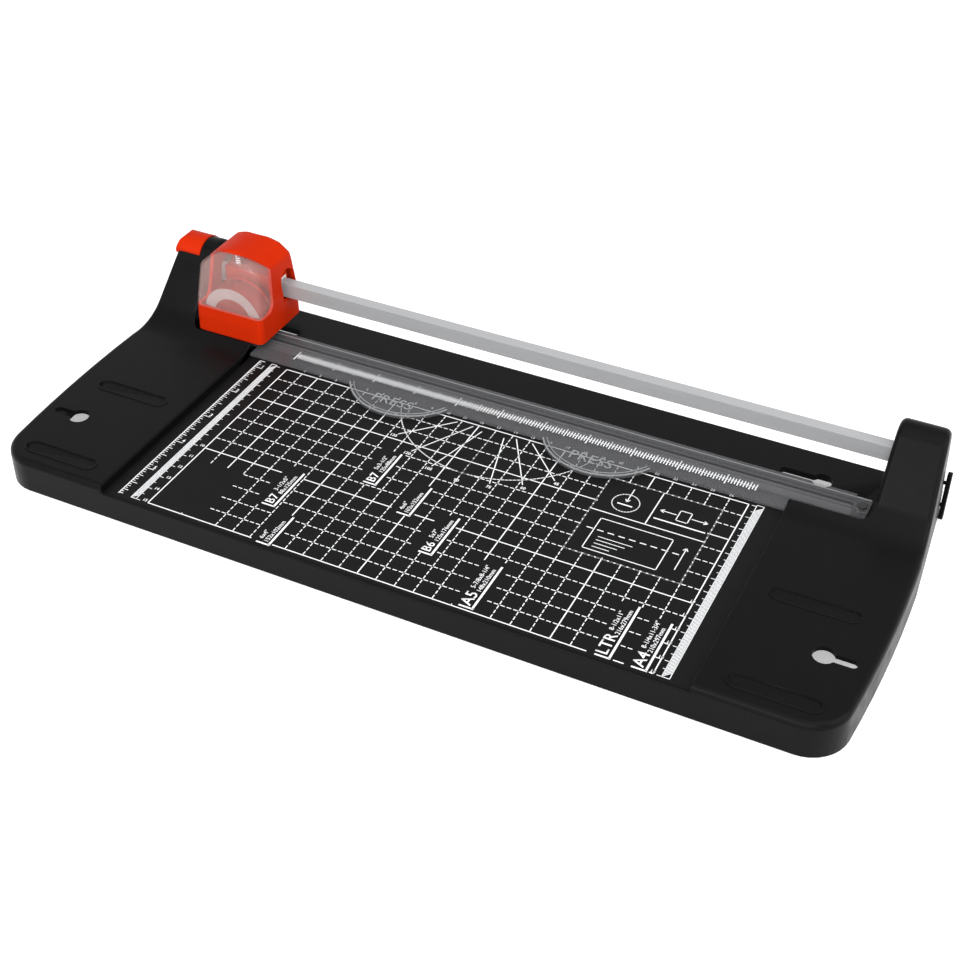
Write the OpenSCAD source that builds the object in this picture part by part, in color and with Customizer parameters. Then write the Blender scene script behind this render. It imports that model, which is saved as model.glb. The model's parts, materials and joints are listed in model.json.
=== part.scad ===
// Sliding rotary paper cutter: a flat base with raised end wings and towers, a rail between the
// towers, a pressing blade head that slides on the rail and a clear strip that holds the paper.
// Millimetres. X runs along the rail to the right, Y to the rear, Z up from the table.

/* [Base] */
// overall length along the rail
base_len = 458.4; // [440:0.2:500]
// overall depth from the front face to the rear face
base_depth = 190.6; // [188:0.2:194]
// height of the bed above the table
bed_z = 16.5; // [15.5:0.1:18]
// height of the two end wings above the bed
wing_rise = 4.4; // [3:0.1:6]
// length of each wing along the rail
wing_w = 72.2; // [66:0.2:78]
// gap between the lower edge of the skirt and the table
skirt_gap = 1.2; // [0.6:0.1:2]
// wall thickness of the base moulding
wall = 2.4; // [2:0.1:2.8]
// radius of the bowed ends seen from above
bow_r = 800; // [600:10:1500]
// radius of the two front corners
front_corner_r = 20; // [14:0.5:26]
// radius of the two rear corners
rear_corner_r = 6; // [4:0.5:10]
// depth of the lower deck between the towers
deck_depth = 52; // [50:0.2:53]
// width of a hanging keyhole's round end
keyhole_d = 10.7; // [9:0.1:12]
// width of a hanging keyhole's slot
keyslot_w = 5; // [4:0.1:6]
// thickness of the stiffening ribs under the bed
rib_t = 1.6; // [1.2:0.1:2.4]

/* [Towers] */
// length of each tower along the rail
tower_w = 32.2; // [30:0.2:34]
// radius of the rounded tower top
arch_r = 11.3; // [11:0.1:11.6]
// distance of the tower top's centre in front of the base's rear face
arch_back = 13.1; // [12.8:0.1:13.6]
// height of the tower top's centre above the bed
arch_rise = 31.1; // [30.8:0.1:32]
// slope of the tower's front face in degrees
slope_deg = 47.9; // [46:0.1:50]
// radius where the tower's front face runs out into the wing
foot_r = 28.7; // [20:0.5:34]
// inward lean of the tower's outer face over its height
outer_lean = 6; // [3:0.5:8]

/* [Rail] */
// width of the rail bar
rail_w = 6.4; // [5.6:0.1:6.8]
// height of the rail bar
rail_h = 8.6; // [8:0.1:9]
// underside of the rail above the bed
rail_rise = 22.4; // [22:0.1:23]
// distance of the rail's centre in front of the tower top's centre
rail_lead = 5.2; // [5:0.1:5.6]

/* [Bed fittings] */
// thickness of the printed measuring panel
panel_t = 1; // [0.8:0.1:1.2]
// distance of the cut line in front of the rail's centre
cut_lead = 18; // [17.8:0.1:18.2]
// width of the cutting strip under the blade
strip_w = 12; // [10:0.5:13]
// thickness of the cutting strip
strip_t = 1.2; // [1:0.1:1.4]
// width of the blade groove in the cutting strip
groove_w = 1.2; // [1:0.1:1.6]
// depth of the blade groove in the cutting strip
groove_deep = 0.8; // [0.6:0.1:0.8]
// diameter of a rubber foot
foot_d = 12; // [10:0.5:14]

/* [Clear guard] */
// thickness of the guard's flat band
guard_t = 1.4; // [1.2:0.1:1.6]
// height of the ramp and rear edge over the guard's underside
guard_rib_h = 2.7; // [2.4:0.1:2.8]
// width of the blade slot in the guard
slot_w = 5; // [4.4:0.1:5.4]
// radius of the two thumb lobes on the guard
lobe_r = 35; // [32:0.5:38]
// reach of the lobes in front of the flat band
lobe_reach = 17; // [14:0.5:18]
// downward travel of the guard
guard_travel = 0.8; // [0.6:0.1:0.8]

/* [Blade head] */
// room between the wheel and the outside of its cover
cover_gap = 4.7; // [4:0.1:5.5]
// gap between the wheel's cover and the head cover at each side
side_gap = 1.15; // [0.8:0.05:1.6]
// gap between the parked head and the left tower
park_gap = 2.7; // [2.4:0.1:4]
// wall thickness of the head cover
head_t = 2; // [1.8:0.1:2.2]
// thickness of the clear window
window_t = 1.6; // [1.2:0.1:1.8]
// diameter of the cutting wheel
blade_d = 28; // [27:0.5:28.5]
// thickness of the cutting wheel
blade_t = 0.5; // [0.3:0.1:0.6]
// diameter of the blade axle
axle_d = 4; // [3.6:0.1:4.4]
// downward travel of the head
press_travel = 2.4; // [2:0.1:2.4]
// depth that the pressed wheel reaches below the bed, inside the groove
blade_dip = 0.3; // [0.1:0.1:0.4]

/* [Park lock] */
// length of the lock button along the rail
button_w = 17.3; // [15:0.1:18]
// height of the button's surface above the tower top
button_proud = 0.5; // [0.3:0.1:0.8]
// downward travel of the lock button
button_travel = 2.5; // [2:0.1:2.5]

/* [Fits] */
// running clearance of the axle bore, on the radius
run_gap = 0.05; // [0.03:0.01:0.1]
// sliding clearance between rail, liners, bolt and their guides
slide_gap = 0.1; // [0.08:0.01:0.15]
// visible gap round parts that move past a cover
trim_gap = 0.3; // [0.2:0.05:0.4]

/* [Hidden] */

$fn = 48;
eps = 0.01;
half_len = base_len / 2;
half_dep = base_depth / 2;
arch_y = half_dep - arch_back;
rail_y = arch_y - rail_lead;
cut_y = rail_y - cut_lead;
deck_front_y = half_dep - deck_depth;
bed_half = half_len - wing_w;
tower_in = half_len - tower_w;
wing_z = bed_z + wing_rise;
arch_z = bed_z + arch_rise;
tower_top = arch_z + arch_r;
rail_z0 = bed_z + rail_rise;
rail_z1 = rail_z0 + rail_h;
bed_low = bed_z - panel_t - wall;
deck_low = bed_z - wall;

// outline of the base seen from above: corner arcs joined by the bowed end
bow_x = half_len - bow_r;
front_cy = -half_dep + front_corner_r;
front_cx = bow_x + sqrt(pow(bow_r - front_corner_r, 2) - pow(front_cy, 2));
front_a = atan2(front_cy, front_cx - bow_x);
rear_cy = half_dep - rear_corner_r;
rear_cx = bow_x + sqrt(pow(bow_r - rear_corner_r, 2) - pow(rear_cy, 2));
rear_a = atan2(rear_cy, rear_cx - bow_x);
right_edge = concat(
  arc(front_cx, front_cy, front_corner_r, -90, front_a, 8),
  arc(bow_x, 0, bow_r, front_a * 0.8, rear_a * 0.8, 8),
  arc(rear_cx, rear_cy, rear_corner_r, rear_a, 90, 5)
);
left_edge = [for (i = [len(right_edge) - 1 : -1 : 0]) [-right_edge[i][0], right_edge[i][1]]];
plan_pts = concat(right_edge, left_edge);

// side profile: wing, foot curve, slope and rounded tower top
slope_dir = [cos(slope_deg), sin(slope_deg)];
tangent_pt = [arch_y - arch_r * sin(slope_deg), arch_z + arch_r * cos(slope_deg)];
slope_len = (wing_z + foot_r - foot_r * cos(slope_deg) - tangent_pt[1]) / sin(slope_deg);
foot_cy = tangent_pt[0] + slope_len * slope_dir[0] - foot_r * sin(slope_deg);
foot_cz = wing_z + foot_r;

// clear guard
guard_z = bed_z + guard_travel + 0.2;
guard_end = tower_in - 3;
guard_front_y = cut_y - 18.5;
spine_front_y = cut_y - 9;
guard_rear_y = cut_y + 7;
slot_end = guard_end - 8;
pin_x = guard_end - 3.5;
pin_r = 1.5;
pocket_z = bed_z - 6.5;

// blade head
cover_r = blade_d / 2 + cover_gap;
head_w = 2 * (cover_r + side_gap + head_t);
head_x = -tower_in + park_gap + head_w / 2;
head_z = bed_z + 6.5;
head_top = head_z + 48.5;
head_front_y = cut_y - 14.5;
head_rear_y = rail_y + 10;
chassis_z0 = head_z + 1;
chassis_z1 = chassis_z0 + 2.5;
axle_z = bed_z - blade_dip + press_travel + blade_d / 2;
side_lean = 2;
shoulder_w = 6;
shoulder_h = 5.5;
crown_h = 3.6;
window_low = head_z + 15;
window_rear_y = head_front_y + 13;

// carriage
car_half = head_w / 2 - 4.85;
car_z0 = rail_z0 - 4.9;
car_z1 = rail_z1 + 3.9;
car_y0 = rail_y - 5.8;
car_y1 = rail_y + 5.8;
liner_t = 1.2;
liner_len = 8;
post_x = car_half - 6;
post_r = 2;
spring_len = 8;
boss_z = car_z1 + spring_len;
post_top = boss_z + 4.5;

// rail posts and the room inside a tower
post_x0 = tower_in + 4;
post_x1 = tower_in + 16;
plate_z0 = 3.4;
plate_t = 2;
screw_x = tower_in + 18;
screw_front_y = deck_front_y + 11.5;
// top of the front screw boss, just under the tower's slope
boss_front_z = tangent_pt[1] - (tangent_pt[0] - screw_front_y + 3.2) * tan(slope_deg) - 0.5;
screw_rear_y = arch_y + 7.3;
clip_y = arch_y + 6.8;
joint_z = 8;
joint_d = 2.5;
rib_gap = half_dep * 0.42;
cross_gap = bed_half / 4;
clip_x = tower_in + 26.9;

// park lock
bolt_y = rail_y + 0.5;
bolt_w = 4;
bolt_z = rail_z1 + 1.4;
bolt_h = 3.2;
bolt_tip = -tower_in - 0.2;
bolt_ratio = 2;
tail_x = bolt_tip - 18.9;
button_x1 = -half_len + 21.9;
button_x0 = button_x1 - button_w;
button_half = 10.2;
button_lip = arch_z + 3.4;
seat_z = arch_z - 2.1;
boss_low = arch_z + 5.4;
button_spring_x = button_x1 - 9.2;
button_spring_y = arch_y + 4.8;

// springs: mean radius, wire radius, curls
curl_rings = 8;
wire_sides = 6;
guard_spring_h = guard_z - pocket_z;
guard_spring_r = 2.3;
guard_wire_r = 0.25;
guard_curls = 5;
press_spring_r = 3;
press_wire_r = 0.35;
press_curls = 5;
button_spring_r = 2;
button_wire_r = 0.25;
button_curls = 5;
button_spring_h = boss_low - seat_z;
echo(guard_spring_gap = spring_gap(guard_spring_h, guard_curls, guard_wire_r));
echo(press_spring_gap = spring_gap(spring_len, press_curls, press_wire_r));
echo(button_spring_gap = spring_gap(button_spring_h, button_curls, button_wire_r));

black = [0.13, 0.13, 0.14];
orange = [0.83, 0.2, 0.06];
steel = [0.75, 0.76, 0.78];
clear = [0.85, 0.9, 0.92, 0.4];

function arc(cx, cy, r, a0, a1, n) =
  [for (i = [0 : n]) let (a = a0 + (a1 - a0) * i / n) [cx + r * cos(a), cy + r * sin(a)]];
function normal(a, b) = let (d = (b - a) / norm(b - a)) [d[1], -d[0]];
// moves every edge of a counter-clockwise outline inwards by t
function inset(p, t) = let (n = len(p))
  [for (i = [0 : n - 1]) let (
    m = normal(p[(i + n - 1) % n], p[i]),
    k = normal(p[i], p[(i + 1) % n])
  ) p[i] - t * (m + k) / (1 + m * k)];
function spring_gap(h, curls, wire_r) = (h - 2 * wire_r) / curls - 2 * wire_r;

function side_profile(low) = concat(
  [[-half_dep - 5, low], [half_dep + 5, low], [half_dep + 5, bed_z], [arch_y + arch_r, bed_z]],
  arc(arch_y, arch_z, arch_r, 0, 90 + slope_deg, 14),
  arc(foot_cy, foot_cz, foot_r, -90 + slope_deg, -90, 8),
  [[-half_dep - 5, wing_z]]
);
// front view: outer faces lean inwards, more so on the towers, under rounded top corners
function front_profile(low) = concat(
  [[-half_len - 0.3, low], [half_len + 0.3, low], [half_len - 1, wing_z]],
  arc(half_len - 1 - outer_lean - 3, tower_top - 4, 4, 8, 90, 5),
  [for (p = arc(half_len - 1 - outer_lean - 3, tower_top - 4, 4, 90, 8, 5)) [-p[0], p[1]]],
  [[-half_len + 1, wing_z]]
);
function head_side(low) = [
  [head_front_y, low], [head_rear_y, low], [head_rear_y, head_z + 19.5],
  [head_rear_y - 0.6, head_z + 35], [head_rear_y - 1.8, head_top - 5.5],
  [head_rear_y - 3.6, head_top - 2], [head_rear_y - 7, head_top],
  [head_front_y + 15, head_top], [head_front_y + 9.5, head_top - 3],
  [head_front_y + 6, head_top - 9.5], [head_front_y + 4.1, head_top - 19],
  [head_front_y + 2.2, head_z + 20], [head_front_y + 0.9, head_z + 9.5]
];
// upright sides that lean in a little, a sloped shoulder and a crowned top
function head_front(low) = let (s = head_w / 2, b = s - shoulder_w - side_lean) concat(
  [[head_x - s, low], [head_x + s, low], [head_x + s, head_z + 19]],
  [[head_x + s - side_lean, head_top - crown_h - shoulder_h]],
  [for (i = [-4 : 4]) [head_x - b * i / 4, head_top - crown_h * pow(i / 4, 2)]],
  [[head_x - s + side_lean, head_top - crown_h - shoulder_h], [head_x - s, head_z + 19]]
);
// side view of the window: over the front and both sides, higher at the rear corners
function window_side() = let (r = 6, y = window_rear_y + 2.7) concat(
  [[head_front_y - 2, window_low]],
  arc(y - r, window_low + r, r, -90, 0, 6),
  [[window_rear_y + 6, head_top - 9], [window_rear_y, head_top - 1.5], [window_rear_y, head_top + 1]],
  [[head_front_y - 2, head_top + 1]]
);

module along_x(x0, x1, pts) {
  translate([x0, 0, 0])
    rotate([90, 0, 90])
      linear_extrude(x1 - x0) polygon(pts);
}
module along_y(y0, y1, pts) {
  translate([0, y1, 0])
    rotate([90, 0, 0])
      linear_extrude(y1 - y0) polygon(pts);
}
module box(x0, x1, y0, y1, z0, z1) {
  translate([x0, y0, z0]) cube([x1 - x0, y1 - y0, z1 - z0]);
}
module rod(x, y, z0, z1, r) {
  translate([x, y, z0]) cylinder(h = z1 - z0, r = r);
}
module rod_y(x, z, y0, y1, r) {
  translate([x, y1, z]) rotate([90, 0, 0]) cylinder(h = y1 - y0, r = r);
}
module both_ends() {
  children();
  mirror([1, 0, 0]) children();
}
module spring(x, y, z0, h, r, wire_r, curls) {
  n = curls * curl_rings;
  rise = h - 2 * wire_r;
  pts = [for (i = [0 : n]) for (j = [0 : wire_sides - 1]) let (
    a = 360 * i / curl_rings,
    b = 360 * j / wire_sides,
    d = r + wire_r * cos(b)
  ) [x + d * cos(a), y + d * sin(a), z0 + wire_r + rise * i / n + wire_r * sin(b)]];
  sides = [for (i = [0 : n - 1]) for (j = [0 : wire_sides - 1]) for (k = [0, 1]) let (
    p = i * wire_sides + j,
    q = i * wire_sides + (j + 1) % wire_sides
  ) k == 0 ? [p, p + wire_sides, q] : [q, p + wire_sides, q + wire_sides]];
  start = [for (j = [1 : wire_sides - 2]) [0, j, j + 1]];
  last = n * wire_sides;
  finish = [for (j = [1 : wire_sides - 2]) [last, last + j + 1, last + j]];
  polyhedron(points = pts, faces = concat(sides, start, finish));
}

module base_form(t, low) {
  intersection() {
    translate([0, 0, low]) linear_extrude(tower_top + 5) polygon(inset(plan_pts, t));
    along_x(-half_len, half_len, inset(side_profile(low - t), t));
    along_y(-half_dep - 1, half_dep + 1, inset(front_profile(low - t), t));
  }
}
module deck_space(grow, z0) {
  r = 5;
  x = tower_in + grow;
  y = deck_front_y - grow;
  box(-x, x, y + r, half_dep + 1, z0, tower_top + 1);
  box(-x + r, x - r, y, half_dep + 1, z0, tower_top + 1);
  both_ends() rod(x - r, y + r, z0, tower_top + 1, r);
}
module bed_space(grow, z0) {
  box(-bed_half - grow, bed_half + grow, -half_dep - 1, half_dep + 1, z0, tower_top + 1);
}
// footprint of the bed with the deck between the towers
module bed_zone(grow, z0) {
  bed_space(grow, z0);
  deck_space(grow, z0);
}
module foot_place(side, rear) {
  x = rear ? bed_half - 24 : bed_half + 10;
  y = rear ? rail_y - 7 : -half_dep + 22;
  translate([side * x, y, 0]) children();
}
module foot_boss(side, rear, roof) {
  foot_place(side, rear) rod(0, 0, skirt_gap, roof + 0.2, foot_d / 2 + 2);
}
module keyhole(x, y, dir, reach) {
  rod(x, y, skirt_gap, wing_z + 1, keyhole_d / 2);
  rod(x + dir * reach, y, skirt_gap, wing_z + 1, keyslot_w / 2);
  x0 = min(x, x + dir * reach);
  box(x0, x0 + reach, y - keyslot_w / 2, y + keyslot_w / 2, skirt_gap, wing_z + 1);
}
module grip(y) {
  x0 = tower_in - 27.3;
  x1 = tower_in + 15.2;
  r = 4;
  box(x0 + r, x1 - r, y - r, y + r, wing_z - 0.8, wing_z + 1);
  rod(x0 + r, y, wing_z - 0.8, wing_z + 1, r);
  rod(x1 - r, y, wing_z - 0.8, wing_z + 1, r);
}
module foot_pocket(side, rear) {
  foot_place(side, rear) rod(0, 0, -1, 3.2, foot_d / 2 + slide_gap);
}
// places of the screws that join an end shell to the bed, between two ribs
module joint_places() {
  for (bay = [0.85, 2.75])
    translate([bed_half - wall - 2, -half_dep + bay * rib_gap, joint_z]) rotate([0, 90, 0]) children();
}
module joint_bores(gap) {
  joint_places() cylinder(h = 2 * wall + 4, d = joint_d + 2 * gap);
}
// space of the printed panel, and of its recess with a gap round it
module panel_room(gap) {
  box(-bed_half + 0.4 - gap, bed_half - 0.4 + gap, -half_dep + 1.9 - gap, spine_front_y + 0.4 + gap,
    bed_z - panel_t, bed_z + 10 * gap);
}
// space of the cutting strip, and of its recess with a gap round it
module strip_room(gap) {
  y = strip_w / 2 - 0.1 + gap;
  box(-slot_end - gap, slot_end + gap, cut_y - y, cut_y + y, bed_z - strip_t, bed_z + 10 * gap);
}
module bed_walls() {
  difference() {
    intersection() {
      base_form(0, skirt_gap);
      bed_zone(0, 0);
    }
    box(-half_len, half_len, -half_dep - 1, half_dep + 1, bed_z, tower_top + 1);
    intersection() {
      base_form(wall, -2);
      bed_zone(-wall, -3);
      box(-half_len, half_len, -half_dep, half_dep, -3, bed_low);
    }
  }
}
module bed_shell() {
  color(black) difference() {
    union() {
      bed_walls();
      foot_boss(0, false, bed_low);
      for (side = [-1, 0, 1]) foot_boss(side, true, bed_low);
      both_ends() rod(pin_x, cut_y, pocket_z - 4, bed_low + 0.2, 5);
    }
    foot_pocket(0, false);
    for (side = [-1, 0, 1]) foot_pocket(side, true);
    both_ends() {
      keyhole(bed_half + 9.2, rail_y - 3.5, -1, 20);
      rod(pin_x, cut_y, pocket_z, bed_z + 1, 3.3);
      rod(pin_x, cut_y, pocket_z - 5, pocket_z + 1, pin_r);
      joint_bores(0.05);
    }
    panel_room(0.1);
    strip_room(0.1);
  }
}
module end_walls() {
  difference() {
    base_form(0, skirt_gap);
    bed_zone(0, 0);
    box(-half_len - 1, 0, -half_dep - 1, half_dep + 1, 0, tower_top + 1);
    difference() {
      base_form(wall, -2);
      bed_zone(wall, -3);
    }
  }
}
module end_shell() {
  difference() {
    union() {
      end_walls();
      foot_boss(1, false, wing_z - wall);
      rod(screw_x, screw_front_y, plate_z0 + plate_t, boss_front_z, 3.2);
      rod(screw_x, screw_rear_y, plate_z0 + plate_t, rail_z0, 3.2);
    }
    foot_pocket(1, false);
    keyhole(half_len - 25.5, -half_dep + 43.8, 1, 13);
    grip(-half_dep + 12.8);
    grip(-half_dep + 73.8);
    joint_bores(0.35);
    rod(screw_x, screw_front_y, 0, 16, 1.3);
    rod(screw_x, screw_rear_y, 0, 16, 1.3);
    box(clip_x, half_len, clip_y - 1.8, clip_y + 1.8, 0, 30.6);
    for (z = [10, 24])
      translate([clip_x - 6, clip_y, z]) rotate([0, 90, 0]) cylinder(h = 8, r = 1.05);
    rail_room(tower_in - 1, tower_in + wall + 1, slide_gap, slide_gap);
  }
}
module end_shell_right() {
  color(black) end_shell();
}
module end_shell_left() {
  color(black) difference() {
    union() {
      mirror([1, 0, 0]) end_shell();
      box(button_spring_x - 3.1, button_spring_x + 4.5, button_spring_y - 3, arch_y + arch_r - wall + 0.5,
        seat_z - 2, seat_z);
    }
    box(-tower_in - wall - 1, -tower_in + 1, bolt_y - bolt_w / 2 - 0.2, bolt_y + bolt_w / 2 + 0.2,
      bolt_z - 0.2, bolt_z + bolt_h + 0.2);
    box(-half_len - 1, button_x1 + trim_gap, arch_y - button_half - trim_gap, arch_y + button_half + trim_gap,
      button_lip - button_travel - trim_gap, tower_top + 1);
  }
}
module rib_frame() {
  x1 = bed_half - wall - slide_gap;
  y1 = half_dep - wall - slide_gap;
  color([0.17, 0.17, 0.18]) difference() {
    union() {
      for (i = [-3, -2, -1, 1, 2, 3]) let (x = i * cross_gap)
        box(x - rib_t / 2, x + rib_t / 2, -y1, y1, skirt_gap + 2, bed_low);
      for (i = [1 : 3]) let (y = -half_dep + i * rib_gap)
        box(-x1, x1, y - rib_t / 2, y + rib_t / 2, skirt_gap + 2, bed_low);
    }
  }
}
module joint_screws() {
  color(steel) joint_places() {
    cylinder(h = 2 * wall + 2, d = joint_d);
    cylinder(h = 2, d = joint_d + 3);
    translate([0, 0, 2 * wall + 2]) cylinder(h = 2, d = joint_d + 3);
  }
}
module joint_screws_right() { joint_screws(); }
module joint_screws_left() { mirror([1, 0, 0]) joint_screws(); }
module scale_panel() {
  color([0.1, 0.1, 0.1]) panel_room(0);
}
module cutting_strip() {
  color([0.3, 0.3, 0.3]) difference() {
    strip_room(0);
    y = groove_w / 2;
    box(-slot_end - 1, slot_end + 1, cut_y - y, cut_y + y, bed_z - groove_deep, bed_z + 1);
  }
}
module foot(side, rear) {
  color([0.2, 0.2, 0.2]) foot_place(side, rear) rod(0, 0, 0, 3.2, foot_d / 2);
}
module foot_front_left() { foot(-1, false); }
module foot_front_mid() { foot(0, false); }
module foot_front_right() { foot(1, false); }
module foot_rear_left() { foot(-1, true); }
module foot_rear_mid() { foot(0, true); }
module foot_rear_right() { foot(1, true); }

// space of the rail with a gap in front of and behind it, and one under and over it
module rail_room(x0, x1, gap, lift) {
  box(x0, x1, rail_y - rail_w / 2 - gap, rail_y + rail_w / 2 + gap,
    rail_z0 - lift, rail_z1 + max(lift, 10 * (gap - lift)));
}
module rail() {
  color(steel) difference() {
    rail_room(-post_x1 + 1, post_x1 - 1, 0, 0);
    both_ends() {
      rod(post_x0 + 6, rail_y, rail_z0 - 1, rail_z1 + 1, 1.4);
      rod(post_x0 + 6, rail_y, rail_z1 - 1.9, rail_z1 + 1, 2.4);
    }
  }
}
module rail_post() {
  plate_z1 = plate_z0 + plate_t;
  color([0.25, 0.25, 0.27]) difference() {
    union() {
      box(tower_in + wall + 0.3, clip_x - 4.5, deck_front_y + 3, half_dep - wall - 0.8, plate_z0, plate_z1);
      box(post_x0, post_x1, rail_y - 6, rail_y + 6, plate_z0 + plate_t - eps, rail_z1);
    }
    rail_room(post_x0 - 1, post_x1 + 1, slide_gap, 0);
    rod(post_x0 + 6, rail_y, rail_z0 - 14, rail_z0 + 1, 1.25);
    rod(screw_x, screw_front_y, 0, 10, 1.6);
    rod(screw_x, screw_rear_y, 0, 10, 1.6);
  }
}
module rail_post_right() { rail_post(); }
module rail_post_left() { mirror([1, 0, 0]) rail_post(); }
module rail_screw() {
  color(steel) {
    rod(post_x0 + 6, rail_y, rail_z0 - 12, rail_z1 - 1.9, 1.2);
    rod(post_x0 + 6, rail_y, rail_z1 - 1.9, rail_z1 - 0.3, 2.3);
  }
}
module rail_screw_right() { rail_screw(); }
module rail_screw_left() { mirror([1, 0, 0]) rail_screw(); }
module post_screws() {
  color(steel) for (y = [screw_front_y, screw_rear_y]) {
    rod(screw_x, y, plate_z0, 14, 1.25);
    rod(screw_x, y, plate_z0 - 1.6, plate_z0, 3);
  }
}
module post_screws_right() { post_screws(); }
module post_screws_left() { mirror([1, 0, 0]) post_screws(); }
module side_clip() {
  color([0.16, 0.16, 0.17]) {
    box(clip_x, clip_x + 2.4, clip_y - 1.6, clip_y + 1.6, 1.8, 30.4);
    for (z = [10, 24])
      translate([clip_x - 3.2, clip_y, z]) rotate([0, 90, 0]) cylinder(h = 3.4, r = 1);
  }
}
module side_clip_right() { side_clip(); }
module side_clip_left() { mirror([1, 0, 0]) side_clip(); }

module guard_strip() {
  z2 = guard_z + guard_rib_h;
  zb = guard_z + guard_t;
  y_slot = cut_y - slot_w / 2;
  ramp = [[y_slot, guard_z], [y_slot, z2], [y_slot - 4.5, zb], [y_slot - 7, zb], [y_slot - 7, guard_z]];
  color(clear) difference() {
    union() {
      box(-bed_half + 0.5, bed_half - 0.5, guard_front_y, spine_front_y + 1, guard_z, zb);
      box(-guard_end, guard_end, spine_front_y, y_slot, guard_z, zb);
      along_x(-slot_end, slot_end, ramp);
      box(-slot_end, slot_end, cut_y + slot_w / 2, guard_rear_y, guard_z, z2);
      both_ends() box(slot_end - eps, guard_end, spine_front_y, guard_rear_y, guard_z, zb);
      for (x = [-61.8, 54.7]) intersection() {
        rod(x, guard_front_y - lobe_reach + lobe_r, guard_z, zb, lobe_r);
        box(x - lobe_r, x + lobe_r, guard_front_y - lobe_reach, guard_front_y + 1, guard_z, zb);
      }
    }
    both_ends() rod(pin_x, cut_y, guard_z - 1, zb + 1, pin_r + 0.2);
  }
}
module guard_pin() {
  color(steel) {
    rod(pin_x, cut_y, pocket_z - 4, guard_z + guard_t + 0.2, pin_r - 0.02);
    rod(pin_x, cut_y, guard_z + guard_t + 0.1, guard_z + guard_t + 1.1, 2.6);
  }
}
module guard_pin_right() { guard_pin(); }
module guard_pin_left() { mirror([1, 0, 0]) guard_pin(); }
module guard_spring() {
  color(steel) spring(pin_x, cut_y, pocket_z, guard_spring_h, guard_spring_r, guard_wire_r, guard_curls);
}
module guard_spring_right() { guard_spring(); }
module guard_spring_left() { mirror([1, 0, 0]) guard_spring(); }

module carriage_block() {
  gap = slide_gap + liner_t;
  color([0.2, 0.2, 0.22]) difference() {
    box(head_x - car_half, head_x + car_half, car_y0, car_y1, car_z0, car_z1);
    rail_room(head_x - car_half - 1, head_x + car_half + 1, gap, gap);
    for (s = [-1, 1]) rod(head_x + s * post_x, rail_y, rail_z1, car_z1 + 1, post_r);
  }
}
module rail_liner(x0) {
  color([0.9, 0.9, 0.88]) difference() {
    rail_room(x0, x0 + liner_len, slide_gap + liner_t, slide_gap + liner_t);
    rail_room(x0 - 1, x0 + liner_len + 1, slide_gap, slide_gap);
  }
}
module rail_liner_left() { rail_liner(head_x - car_half); }
module rail_liner_right() { rail_liner(head_x + car_half - liner_len); }
module press_post(side) {
  color(steel)
    rod(head_x + side * post_x, rail_y, rail_z1 + slide_gap + liner_t, post_top, post_r - 0.02);
}
module press_post_left() { press_post(-1); }
module press_post_right() { press_post(1); }
module press_spring(side) {
  color(steel)
    spring(head_x + side * post_x, rail_y, car_z1, spring_len, press_spring_r, press_wire_r, press_curls);
}
module press_spring_left() { press_spring(-1); }
module press_spring_right() { press_spring(1); }

module head_form(t, low) {
  intersection() {
    along_x(head_x - head_w / 2, head_x + head_w / 2, inset(head_side(low - t), t));
    along_y(head_front_y - 1, head_rear_y + 1, inset(head_front(low - t), t));
  }
}
module window_space(grow) {
  along_x(head_x - head_w, head_x + head_w, inset(window_side(), -grow));
}
module rail_arch() {
  r = 6.85;
  z1 = head_z + 25.35;
  box(head_x - head_w, head_x + head_w, rail_y + 0.15 - r, rail_y + 0.15 + r, head_z + 14.5, z1);
  translate([head_x - head_w, rail_y + 0.15, z1]) rotate([0, 90, 0]) cylinder(h = 2 * head_w, r = r);
}
module head_shell() {
  color(orange) difference() {
    union() {
      difference() {
        head_form(0, head_z);
        head_form(head_t, head_z - 3);
        window_space(0);
      }
      intersection() {
        for (s = [-1, 1]) rod(head_x + s * post_x, rail_y, boss_z, head_top, post_r + 2.2);
        head_form(0.5, head_z);
      }
    }
    rail_arch();
    for (s = [-1, 1])
      rod(head_x + s * post_x, rail_y, boss_z - 1, post_top + press_travel + 0.6, post_r + slide_gap);
  }
}
module head_window() {
  color(clear) intersection() {
    difference() {
      head_form(0, head_z);
      head_form(window_t, head_z - 3);
    }
    window_space(-0.1);
  }
}
module cover_outline(r, y0, y1, z0) {
  rod_y(head_x, axle_z, y0, y1, r);
  box(head_x - r, head_x + r, y0, y1, z0, axle_z);
}
module head_chassis() {
  half_in = head_w / 2 - head_t;
  slot_x = blade_d / 2 + 1.6;
  color([0.15, 0.15, 0.16]) difference() {
    union() {
      box(head_x - half_in, head_x + half_in, head_front_y + 2.8, head_rear_y - 2.4, chassis_z0, chassis_z1);
      intersection() {
        cover_outline(cover_r, cut_y + 2.5, cut_y + 5, chassis_z1 - 1);
        box(head_x - cover_r, head_x + cover_r, cut_y, cut_y + 10, chassis_z1 - 1, axle_z + cover_r);
      }
      for (s = [-1, 1]) rod(head_x + s * cover_r / 2, rail_y - 2, chassis_z1 - 1, car_z0 - 0.3, 2.5);
    }
    box(head_x - slot_x, head_x + slot_x, cut_y - 5, cut_y + 2.5, chassis_z0 - 1, chassis_z1 + 1);
    rod_y(head_x, axle_z, cut_y, cut_y + 8, axle_d / 2);
  }
}
module blade_guard() {
  y0 = cut_y - 8.5;
  color([0.6, 0.6, 0.62, 0.6]) intersection() {
    difference() {
      cover_outline(cover_r, y0, cut_y + 2.5, chassis_z1);
      cover_outline(cover_r - 1.6, y0 + 1.6, cut_y + 3.5, chassis_z1 - 1);
    }
    box(head_x - cover_r, head_x + cover_r, y0, cut_y + 2.5, chassis_z1, axle_z + cover_r);
  }
}
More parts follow.
